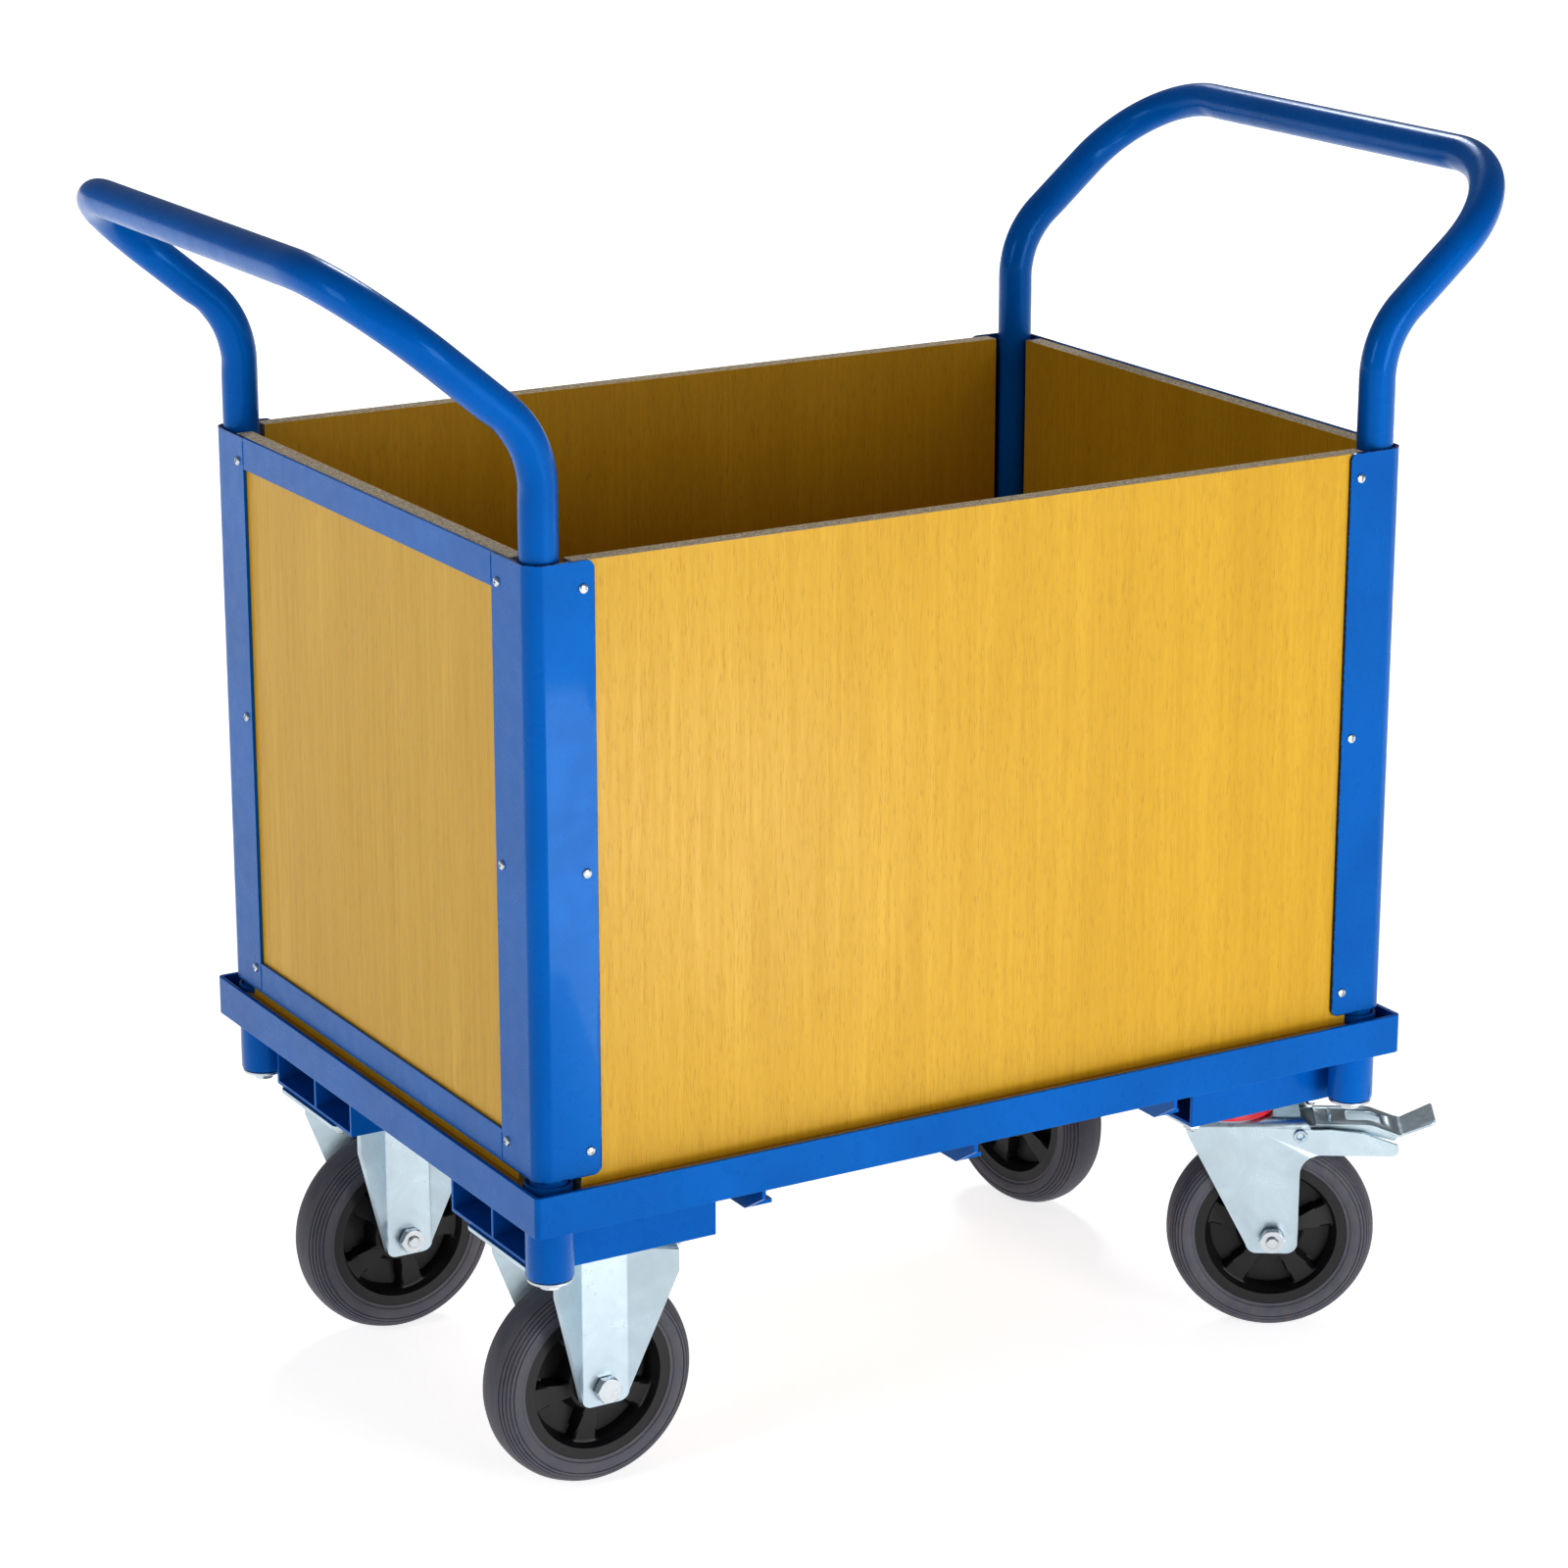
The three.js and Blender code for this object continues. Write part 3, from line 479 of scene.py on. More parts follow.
# ---- small parts --------------------------------------------------------------------------------
def hexagon(radius, low, high, chamfer=1.2, both=False):
    """A hex head or nut whose corners are turned off at the top, and at the bottom when both."""
    six = prism(circle(radius, 6), low, high)
    inner, outer = radius * math.cos(math.radians(30)) * 1.02, radius + 0.5
    below, above = low - 0.01, high + 0.01
    bottom = [(inner, below), (outer, low + chamfer)] if both else [(outer, below)]
    turned = lathe([(0, below), *bottom, (outer, high - chamfer), (inner, above), (0, above)], 48)
    return carved(six, turned, operation="INTERSECT")


def threaded(radius, low, high, pitch=1.5, tip=1.2):
    """A bolt shank with its thread as a run of grooves and a turned-off tip at the high end."""
    profile = [(0, low), (radius, low)]
    depth = 0.5
    height = low + pitch
    while height < high - tip - pitch:
        root, crest = height + pitch * 0.35, height + pitch * 0.7
        profile += [(radius, height), (radius - depth, root), (radius, crest)]
        height += pitch
    profile += [(radius, high - tip), (radius - tip, high), (0, high)]
    return lathe(profile, 24)


def washer(radius, bore, low, high):
    edge = 0.4
    return lathe([(bore, low), (radius - edge, low), (radius, low + edge), (radius, high - edge),
                  (radius - edge, high), (bore, high), (bore, low)], 48)


def weld_bead(path, radius, seed, closed=False):
    """A thin rippled bead of weld along a path."""
    draw = random.Random(seed)
    phase = draw.uniform(0, math.tau)
    length = sum((b - a).length for a, b in zip(path, path[1:]))

    def ring(share):
        along = share * length
        ripple = 1 + 0.13 * math.sin(phase + along * 1.7) + 0.05 * math.sin(along * 0.43)
        taper = 1 if closed else min(1, 0.25 + 8 * min(share, 1 - share))
        return circle(radius * ripple * taper, 8)

    return smooth(swept(path, ring, closed), 60)


def line(start, stop, step=1.2):
    start, stop = Vector(start), Vector(stop)
    count = max(2, int((stop - start).length / step))
    return [start.lerp(stop, i / count) for i in range(count + 1)]


# ---- base ---------------------------------------------------------------------------------------
def ring_corner(inset, radius, steps=6):
    """Corner points of the base's outline, in the first quadrant, moved in by inset."""
    if inset >= radius:
        return [(BASE_HALF_LENGTH - inset, BASE_HALF_WIDTH - inset)] * (steps + 1)
    middle = (BASE_HALF_LENGTH - radius, BASE_HALF_WIDTH - radius)
    return arc(middle, radius - inset, 0, 90, steps)


def base_frame():
    """The four angle irons welded into one frame, its outer corners ground round."""
    low, high = BASE_LOW.z, BASE_HIGH.z
    shelf_top = low + ANGLE_THICKNESS
    profile = [(0, low), (0, high), (ANGLE_THICKNESS, high), (ANGLE_THICKNESS, shelf_top),
               (ANGLE_SHELF, shelf_top), (ANGLE_SHELF, low)]
    bm = bmesh.new()
    loops = []
    for inset, z in profile:
        quarter = ring_corner(inset, BASE_CORNER)
        points = []
        for sx, sy, order in ((1, 1, 1), (-1, 1, -1), (-1, -1, 1), (1, -1, -1)):
            points += [(sx * x, sy * y) for x, y in quarter[::order]]
        loops.append([bm.verts.new((x, y, z)) for x, y in points])
    for a, b in zip(loops, loops[1:] + loops[:1]):
        for i in range(len(a)):
            j = (i + 1) % len(a)
            bm.faces.new((a[i], a[j], b[j], b[i]))
    bmesh.ops.remove_doubles(bm, verts=bm.verts, dist=0.001)
    return bevelled(to_mesh(bm), 0.9, 3, 50)


def socket():
    top, bottom, inner = SOCKET_HIGH.z, SOCKET_LOW.z, SOCKET_RADIUS - 3
    return smooth(lathe([
        (inner, bottom), (SOCKET_RADIUS - 2.4, bottom), (SOCKET_RADIUS - 0.7, bottom + 0.9),
        (SOCKET_RADIUS, bottom + 2.6), (SOCKET_RADIUS, top - 0.8), (SOCKET_RADIUS - 0.8, top),
        (inner + 0.5, top), (inner, top - 0.5), (inner, bottom),
    ], 64), 25)


def handle_fastener():
    """Big washer and hex head seen from below the socket."""
    low, high = span("handle_bolt_back_right")
    washer_radius, head_radius, shank_radius = 20.0, 9.8, 5.0
    washer_top = SOCKET_LOW.z - 0.3
    washer_bottom = washer_top - 2.8
    head = bevelled(hexagon(head_radius, low.z, washer_bottom, 1.0, both=True), 0.25)
    shank = threaded(shank_radius, washer_bottom, high.z)
    return merged(washer(washer_radius, shank_radius - 0.1, washer_bottom, washer_top), head, shank)


def base():
    rails = [f"base_rail_{name}" for name in ("front", "back", "left", "right")]
    piece("base_frame", base_frame(), TROLLEY, "blue_paint", BLUE, replaces=rails)
    low = BASE_LOW.z
    for corner, (sx, sy) in CORNERS.items():
        at = Matrix.Translation((sx * LEG_X, sy * LEG_Y, 0))
        piece(f"socket_{corner}", moved(socket(), at), TROLLEY, "blue_paint", BLUE,
              replaces=[f"corner_socket_{corner}"])
        piece(f"handle_fastener_{corner}", moved(handle_fastener(), at), TROLLEY, "zinc_fastener",
              ZINC_FASTENER, replaces=[f"handle_bolt_{corner}"])
        rim = [Vector((x, y, low - 0.2)) for x, y in circle(SOCKET_RADIUS + 0.8, 90)]
        inner = [Vector((x, y, low + ANGLE_THICKNESS)) for x, y in circle(SOCKET_RADIUS + 0.5, 90)]
        beads = merged(weld_bead(rim, 1.7, f"rim {corner}", closed=True),
                       weld_bead(inner, 1.2, f"inner {corner}", closed=True))
        piece(f"socket_weld_{corner}", moved(beads, at), TROLLEY, "blue_paint", BLUE)
    for name in ("left", "centre", "right"):
        node = f"cross_member_{name}"
        piece(f"{node}_folded", cad_copy(node, 0.9), TROLLEY, "blue_paint", BLUE, replaces=[node])
    for corner, (_, sy) in CORNERS.items():
        node = f"caster_bracket_{corner}"
        piece(f"{node}_folded", cad_copy(node, 0.8), TROLLEY, "blue_paint", BLUE, replaces=[node])
        low_x = span(node)[0].x
        y, z = sy * (BRACKET_OUTER_Y + 0.6), BASE_LOW.z - 0.3
        seams = [line((low_x + start, y, z), (low_x + start + SEAM_LENGTH, y, z)) for start in SEAM_STARTS]
        beads = merged(*[weld_bead(path, 1.9, f"{node} {i}") for i, path in enumerate(seams)])
        piece(f"bracket_weld_{corner}", beads, TROLLEY, "blue_paint", BLUE)
    deck()


def deck():
    """Laminate on top and below, chipboard on the cut edges."""
    mesh = cad_copy("deck_board", 0.5)
    board = piece("deck_panel", mesh, TROLLEY, "deck_board", DECK_LAMINATE, CHIPBOARD,
                  replaces=["deck_board"])
    for face in board.data.polygons:
        face.material_index = 0 if abs(face.normal.z) > 0.8 else 1


# ---- walls --------------------------------------------------------------------------------------
def post(sx, sy):
    """An angle folded from sheet, with a rounded corner at each free end of the side flange."""
    outer_x, outer_y = POST_HIGH.x - SHEET / 2, POST_HIGH.y - SHEET / 2
    radius = POST_BEND - SHEET / 2
    bend = radius * math.pi / 2
    side_flange = POST_HIGH.x - POST_BEND - POST_LOW.x
    end_flange = POST_HIGH.y - POST_BEND - POST_LOW.y
    low, high = POST_LOW.z, POST_HIGH.z
    round_end = 8.0

    def place(u, v):
        if u < 0:
            x, y = outer_x - radius + u, outer_y
        elif u > bend:
            x, y = outer_x, outer_y - radius - (u - bend)
        else:
            turn = u / radius
            x, y = outer_x - radius + radius * math.sin(turn), outer_y - radius + radius * math.cos(turn)
        return sx * x, sy * y, v

    outline = [
        *arc((-side_flange + round_end, low + round_end), round_end, 180, 270, 6),
        (bend + end_flange, low),
        (bend + end_flange, high),
        *arc((-side_flange + round_end, high - round_end), round_end, 90, 180, 6),
    ]
    cuts = [bend * i / 10 for i in range(11)] + [-side_flange + 2.5, bend + end_flange - 2.5]
    mesh = folded(outline, place, cuts, [low + 2.5, high - 2.5], SHEET, 0.45)
    wear = mesh.attributes.new("wear", "FLOAT", "POINT")
    free_x = POST_LOW.x
    for i, vertex in enumerate(mesh.vertices):
        from_side = abs(abs(vertex.co.x) - free_x)
        from_end = min(abs(vertex.co.z - low), abs(vertex.co.z - high))
        wear.data[i].value = 1.0 if from_side < 1.2 or from_end < 0.8 else 0.0
    return mesh


def wall_board(node):
    """Chipboard between two thin laminate skins. Only the cut edges show the core."""
    low, high = span(node)
    size = high - low
    thin = 0 if size.x < size.y else 1
    skin = 0.7
    bm = bmesh.new()
    bmesh.ops.create_cube(bm, size=1)
    for vertex in bm.verts:
        vertex.co = Vector([low[i] + (vertex.co[i] + 0.5) * size[i] for i in range(3)])
    for value in (low[thin] + skin, high[thin] - skin):
        at, normal = Vector((0, 0, 0)), Vector((0, 0, 0))
        at[thin], normal[thin] = value, 1
        geometry = bm.verts[:] + bm.edges[:] + bm.faces[:]
        bmesh.ops.bisect_plane(bm, geom=geometry, plane_co=at, plane_no=normal)
    mesh = bevelled(to_mesh(bm), 0.25, 2, 50)
    core = []
    for face in mesh.polygons:
        inside = low[thin] + skin * 0.99 < face.center[thin] < high[thin] - skin * 0.99
        core.append(inside and abs(face.normal[thin]) < 0.5)
    return mesh, core


def screw_head():
    """A pan head with a cross recess, its axis along Z and its seat at height 0."""
    dome = lathe([(0, -1.0), (3.2, -1.0), (3.2, 0), (4.4, 0), (4.4, 0.7), (3.9, 1.7), (2.6, 2.4),
                  (0, 2.7)], 32)
    arms = [block((-2.3, 2.3), (-0.45, 0.45), (1.2, 4)), block((-0.45, 0.45), (-2.3, 2.3), (1.2, 4))]
    return smooth(carved(dome, *arms), 30)


def screws(sx, sy):
    """Three screws through each flange of one post."""
    head = screw_head()
    heads = []
    for height in SCREW_HEIGHTS:
        out_y = Matrix.Rotation(math.radians(-90 * sy), 4, "X")
        out_x = Matrix.Rotation(math.radians(90 * sx), 4, "Y")
        side_x, end_y = sx * (POST_LOW.x + SCREW_INSET), sy * (POST_LOW.y + SCREW_INSET)
        on_side = Matrix.Translation((side_x, sy * POST_HIGH.y, height)) @ out_y
        on_end = Matrix.Translation((sx * POST_HIGH.x, end_y, height)) @ out_x
        for matrix in (on_side, on_end):
            spin = Matrix.Rotation(height * 0.37 + sx + 2 * sy, 4, "Z")
            heads.append(moved(head.copy(), matrix @ spin))
    return merged(*heads)


def walls():
    for corner, (sx, sy) in CORNERS.items():
        piece(f"post_{corner}", post(sx, sy), TROLLEY, "blue_paint", BLUE,
              replaces=[f"corner_post_{corner}"])
        piece(f"post_screws_{corner}", smooth(screws(sx, sy), 30), TROLLEY, "zinc_fastener",
              ZINC_FASTENER)
        x, y = sx * (POST_HIGH.x - 0.5), sy * (POST_LOW.y - 0.15)
        seams = []
        for z in (POST_HIGH.z - END_BAR_HEIGHT, POST_LOW.z):
            joint_line = line((x, y, z + 1.5), (x, y, z + END_BAR_HEIGHT - 1.5), 0.8)
            seams.append(weld_bead(joint_line, 1.1, f"seam {corner} {z}"))
        piece(f"post_weld_{corner}", merged(*seams), TROLLEY, "blue_paint", BLUE)
    for end in ENDS:
        for place in ("top", "bottom"):
            node = f"end_rail_{place}_{end}"
            piece(f"{node}_bar", cad_copy(node, 0.5), TROLLEY, "blue_paint", BLUE, replaces=[node])
    for node in ("side_panel_front", "side_panel_back", "end_panel_left", "end_panel_right"):
        mesh, core = wall_board(node)
        board = piece(f"{node}_board", mesh, TROLLEY, "wall_board", WALL_LAMINATE, CHIPBOARD,
                      replaces=[node])
        for face, bare in zip(board.data.polygons, core):
            face.material_index = 1 if bare else 0


# ---- push handles -------------------------------------------------------------------------------
def rounded_path(corners, radii, step=6.0):
    """A polyline with its corners rounded, as points, and the places where the bends start and end."""
    points, marks = [corners[0]], []
    for before, at, after, radius in zip(corners, corners[1:], corners[2:], radii):
        back, on = (before - at).normalized(), (after - at).normalized()
        half = back.angle(on) / 2
        turn = math.pi - 2 * half
        middle = at + (back + on).normalized() * (radius / math.sin(half))
        first, last = at + back * (radius / math.tan(half)), at + on * (radius / math.tan(half))
        count = max(2, int((first - points[-1]).length / step))
        points += [points[-1].lerp(first, i / count) for i in range(1, count)]
        steps = max(12, int(radius * turn / 5))
        a, b = first - middle, last - middle
        for i in range(steps + 1):
            share = i / steps
            points.append(middle + a * (math.sin((1 - share) * turn) / math.sin(turn))
                          + b * (math.sin(share * turn) / math.sin(turn)))
        marks += [(first, -a.normalized(), (at - before).normalized()), (last, -b.normalized(), on)]
    end = corners[-1]
    count = max(2, int((end - points[-1]).length / step))
    points += [points[-1].lerp(end, i / count) for i in range(1, count + 1)]
    return points, marks


def push_handle(sx):
    x = sx * LEG_X
    grip = sx * GRIP_X
    foot = HANDLE_LOW.z
    corners = [Vector(corner) for corner in (
        (x, -LEG_Y, foot), (x, -LEG_Y, LOWER_BEND_Z), (grip, -LEG_Y, GRIP_Z),
        (grip, LEG_Y, GRIP_Z), (x, LEG_Y, LOWER_BEND_Z), (x, LEG_Y, foot))]
    radii = [LOWER_BEND_RADIUS, GRIP_BEND_RADIUS, GRIP_BEND_RADIUS, LOWER_BEND_RADIUS]
    path, marks = rounded_path(corners, radii)
    tube = swept(path, lambda share: circle(HANDLE_RADIUS, 48))
    # the bending die leaves a shallow print on the inside of each bend, where it starts and ends
    depth, spread, length, reach = 1.1, 9, 30, 40
    for vertex in tube.vertices:
        for at, inward, along in marks:
            away = vertex.co - (at + inward * HANDLE_RADIUS)
            forward = away.dot(along)
            if abs(forward) < length and away.length < reach:
                sideways = (away - along * forward).length
                fade = math.exp(-(forward / spread) ** 2 - (sideways / spread) ** 2)
                vertex.co -= inward * (depth * fade)
    return smooth(tube, 60)


def handles():
    for end, sx in ENDS.items():
        piece(f"handle_tube_{end}", push_handle(sx), TROLLEY, "blue_paint", BLUE,
              replaces=[f"push_handle_{end}"])


# ---- casters ------------------------------------------------------------------------------------
def tyre():
    """A crowned tread with moulded lines at its shoulders, and a flat sidewall, axis along Z."""
    half = [(RIM_RADIUS + 0.3, 22.0), (76.0, 22.4), (77.0, 23.6), (80.0, 24.7), (83.5, 24.9)]
    shoulder = [(85.5, 24.8), (89.0, 24.0), (92.0, 22.2), (94.5, 19.6), (96.5, 16.2), (98.0, 12.0)]
    for (radius, away), (next_radius, next_away) in zip(shoulder, shoulder[1:]):
        along = Vector((next_radius - radius, next_away - away)).normalized()
        inward = Vector((along.y, -along.x))
        groove = [(0.0, 0.0), (0.35, 1.0), (1.15, 1.0), (1.5, 0.0)]
        half += [tuple(Vector((radius, away)) + along * run + inward * depth) for run, depth in groove]
    half.append(shoulder[-1])
    half += [(99.5, 7.5), (99.8, 4.0), (100.0, 0.6)]
    profile = [(r, -y) for r, y in half] + [(r, y) for r, y in half[::-1]]
    return smooth(lathe(profile + [profile[0]], 144), 24)


def rim():
    """Moulded centre: hub, five raised webs with deep pockets between them, and an outer band."""
    pockets, steps = 5, 180
    hub_height, web_height, web_slope, pocket_floor, band_height = 27, 17, 3.5, 1.8, 21.6
    radii = [7, 12, 17, 20.5, 22, 24, 27, 30, 33, 40, 48, 54, 57.5, 59, 60.5, 62, 63.5, 65, 69, 71.5, 73]

    def ease(value, low, high):
        share = min(1, max(0, (value - low) / (high - low)))
        return share * share * (3 - 2 * share)

    def height(radius, angle):
        web = web_height - web_slope * ease(radius, 26, 58)
        turn = (angle * pockets / math.tau) % 1
        across = abs(turn - 0.5) * 2  # 1 in the middle of a web, 0 in the middle of a pocket
        width = 0.55 + 0.07 * ease(radius, 30, 58)
        between_webs = 1 - ease(across, width, width + 0.07)
        inside = between_webs * ease(radius, 28.5, 31.5) * (1 - ease(radius, 57.5, 59.5))
        dish = web - (web - pocket_floor) * inside
        hub = hub_height - (hub_height - dish) * ease(radius, 20.5, 25)
        return hub + (band_height - hub) * ease(radius, 60, 63.5)

    bm = bmesh.new()
    top, bottom = [], []
    for radius in radii:
        angles = [math.tau * i / steps for i in range(steps)]
        places = [(radius * math.cos(a), radius * math.sin(a), height(radius, a)) for a in angles]
        top.append([bm.verts.new(place) for place in places])
        bottom.append([bm.verts.new((x, y, -z)) for x, y, z in places])
    loops = top + bottom[::-1]
    for a, b in zip(loops, loops[1:] + loops[:1]):
        for i in range(steps):
            j = (i + 1) % steps
            bm.faces.new((a[i], a[j], b[j], b[i]))
    return smooth(to_mesh(bm), 28)


def axle_parts(head_side):
    """Hex bolt through the wheel, and its nut, both with the axle along Y and the head at head_side."""
    face, thick, end, chamfer = 37.3, 8.0, 48.0, 1.6
    flipped = Matrix.Rotation(math.pi, 4, "X")
    head = bevelled(hexagon(AXLE_HEX_RADIUS, face, face + thick, chamfer), 0.3)
    flange = washer(AXLE_HEX_RADIUS - 1.3, 0.5, face - 0.25, face + 0.4)
    bolt = merged(head, flange, moved(threaded(AXLE_RADIUS, -face + 2, end), flipped))
    nut_body = hexagon(AXLE_HEX_RADIUS, -face - thick, -face, chamfer, both=True)
    hole = AXLE_RADIUS + 0.2
    nut = bevelled(carved(nut_body, lathe([(0, -60), (hole, -60), (hole, 0), (0, 0)], 32)), 0.25)
    turn = along_y() if head_side > 0 else along_y() @ flipped
    return moved(bolt, turn), moved(nut, turn)


def top_plate(half_width):
    outline = []
    corner = 9
    for sx, sy, start in ((1, 1, 0), (-1, 1, 90), (-1, -1, 180), (1, -1, 270)):
        middle = (sx * (PLATE_HALF_LENGTH - corner), sy * (half_width - corner))
        outline += arc(middle, corner, start, start + 90, 6)
    return bevelled(prism(outline, PLATE_BOTTOM, PLATE_TOP), 0.6, 2)


def plate_bolts():
    """The four bolts that hold a caster, seen as nuts and thread ends below its plate."""
    parts = []
    washer_radius, nut_radius, nut_height, shank_radius, shank_end = 10.4, 8.6, 6.4, 4.9, 12
    seat = PLATE_BOTTOM - 1.8
    flipped = Matrix.Rotation(math.pi, 4, "X")
    for sx in (-1, 1):
        for sy in (-1, 1):
            flat = washer(washer_radius, shank_radius + 0.3, seat, PLATE_BOTTOM)
            nut = bevelled(hexagon(nut_radius, seat - nut_height, seat, 0.9, both=True), 0.2)
            end = moved(threaded(shank_radius, -PLATE_BOTTOM, -PLATE_BOTTOM + shank_end), flipped)
            turned = Matrix.Rotation(0.5 * sx + 0.8 * sy, 4, "Z")
            at = Matrix.Translation((sx * PLATE_BOLT_X, sy * PLATE_BOLT_Y, 0)) @ turned
            parts += [moved(part, at) for part in (flat, nut, end)]
    return merged(*parts)


def fork_pattern(leg, crown_half, bend, top):
    """Flat pattern of a U-shaped fork: a leg outline of (x, z) points, mirrored across the crown."""
    turn = bend * math.pi / 2
    drop = [(x, crown_half + turn + (top - bend - z)) for x, z in leg]
    return drop + [(x, -s) for x, s in drop[::-1]]


def fork_place(crown_half, bend, top, relief):
    """Rule that folds the pattern: flat crown, two quarter bends, two legs with pressed relief."""
    turn = bend * math.pi / 2

    def place(x, s):
        sign, s = (1, s) if s >= 0 else (-1, -s)
        if s <= crown_half:
            return x, sign * s, top
        if s < crown_half + turn:
            angle = (s - crown_half) / bend
            share = math.sin(angle)
            y = crown_half + bend * share + relief(x) * share
            return x, sign * y, top - bend + bend * math.cos(angle)
        z = top - bend - (s - crown_half - turn)
        return x, sign * (crown_half + bend + relief(x)), z

    return place


def mirrored(values):
    return values + [-value for value in values]


def fork_foot(axle_x):
    """Lower edge of a fork leg, from its left corner round to its right corner."""
    inset, height = FOOT_HALF - FOOT_CORNER, FORK_FOOT + FOOT_CORNER
    return [*arc((axle_x - inset, height), FOOT_CORNER, 190, 270, 6),
            *arc((axle_x + inset, height), FOOT_CORNER, 270, 350, 6)]


def fixed_fork():
    """A pressed fork: each leg has a flat middle panel, and flanks that flare out to the plate."""
    bend = 6.0
    crown_half = FORK_MIDDLE - bend
    top = PLATE_BOTTOM - FORK_SHEET / 2
    shoulder, shoulder_height = 62.0, 209.0
    crease, crease_half = 24.0, 2.0
    panel, slope = 3.0, 27.0 / 38.0

    def relief(x):
        past = abs(x) - crease
        soft = (past + crease_half) ** 2 / (4 * crease_half)
        return panel + slope * (0 if past < -crease_half else soft if past < crease_half else past)

    leg = [(-shoulder, top - bend), (-shoulder, shoulder_height), *fork_foot(0),
           (shoulder, shoulder_height), (shoulder, top - bend)]
    pattern = fork_pattern(leg, crown_half, bend, top)
    turn = bend * math.pi / 2
    bends = [crown_half + turn * i / 5 for i in range(6)]
    creases = [crease - crease_half, crease, crease + crease_half]
    place = fork_place(crown_half, bend, top, relief)
    legs = folded(pattern, place, mirrored(creases), mirrored(bends), FORK_SHEET, 0.7)
    return merged(top_plate(FIXED_PLATE_HALF_WIDTH), legs)


def swivel_fork():
    """Legs slanting down to the axle, with a fillet into the arms that carry the brake pedal."""
    bend = 9.0
    crown_half = FORK_MIDDLE - bend
    top = CROWN_TOP - FORK_SHEET / 2

    def relief(x):
        return max(-3.6, -0.09 * max(0, 28 - x))

    crown_back, crown_front = -40, 70
    leg = [
        (crown_back, top - bend),
        (crown_back, 208),
        (crown_back + 4, 199),
        *fork_foot(TRAIL),
        (crown_front, 112),
        (crown_front, 150),
        (crown_front, 166),
        *arc((90, 166), 20, 170, 90, 7),
        (156, 186),
        *arc((157, 193), 7, 280, 400, 5),
        (130, 209),
        (98, 212),
        (80, top - bend + 1),
    ]
    pattern = fork_pattern(leg, crown_half, bend, top)
    middle = len(pattern) // 2
    front_edge = [(crown_front, crown_half), (crown_front, -crown_half)]
    pattern = pattern[:middle] + front_edge + pattern[middle:]
    turn = bend * math.pi / 2
    bends = [crown_half + turn * i / 6 for i in range(7)]
    place = fork_place(crown_half, bend, top, relief)
    return folded(pattern, place, [-12, 28], mirrored(bends), FORK_SHEET, 0.7)


def swivel_head():
    """Lower ball race pressed on the crown, seen between the crown and the plate."""
    low, top = CROWN_TOP - 1, 229.2
    return smooth(lathe([(8, low), (36, low), (36.5, CROWN_TOP + 1), (33.5, CROWN_TOP + 6),
                         (31, top), (8, top), (8, low)], 72), 30)


def plate_head():
    """Upper race below the plate and the kingpin riveted over under the crown."""
    rivet = [(0, 211), (7, 211), (9.5, 212.2), (11, 214.5), (11, 217), (7, 217.1), (7, 229.9)]
    race = [(32.6, 229.9), (33.2, 231), (33.2, PLATE_BOTTOM), (44, PLATE_BOTTOM),
            (46, PLATE_BOTTOM + 1), (0, PLATE_BOTTOM + 1)]
    return smooth(lathe(rivet + race, 72), 30)


def seal_ring():
    (inner, low), (outer, high) = (37.5, 223.5), (45.0, PLATE_BOTTOM - 0.3)
    return smooth(lathe([(inner, low), (outer - 1.2, low), (outer, low + 1.2), (outer, high - 1.6),
                         (outer - 0.9, high), (inner, high), (inner, low)], 72), 35)


def strip(points, bend, steps=5):
    """Rounds the inner corners of an (x, z) polyline."""
    result = [points[0]]
    for before, at, after in zip(points, points[1:], points[2:]):
        at, before, after = Vector(at), Vector(before), Vector(after)
        back, on = (before - at).normalized(), (after - at).normalized()
        for i in range(steps + 1):
            share = i / steps
            a, b = at + back * bend, at + on * bend
            result.append(tuple(a.lerp(at, share).lerp(at.lerp(b, share), share)))
    return result + [points[-1]]


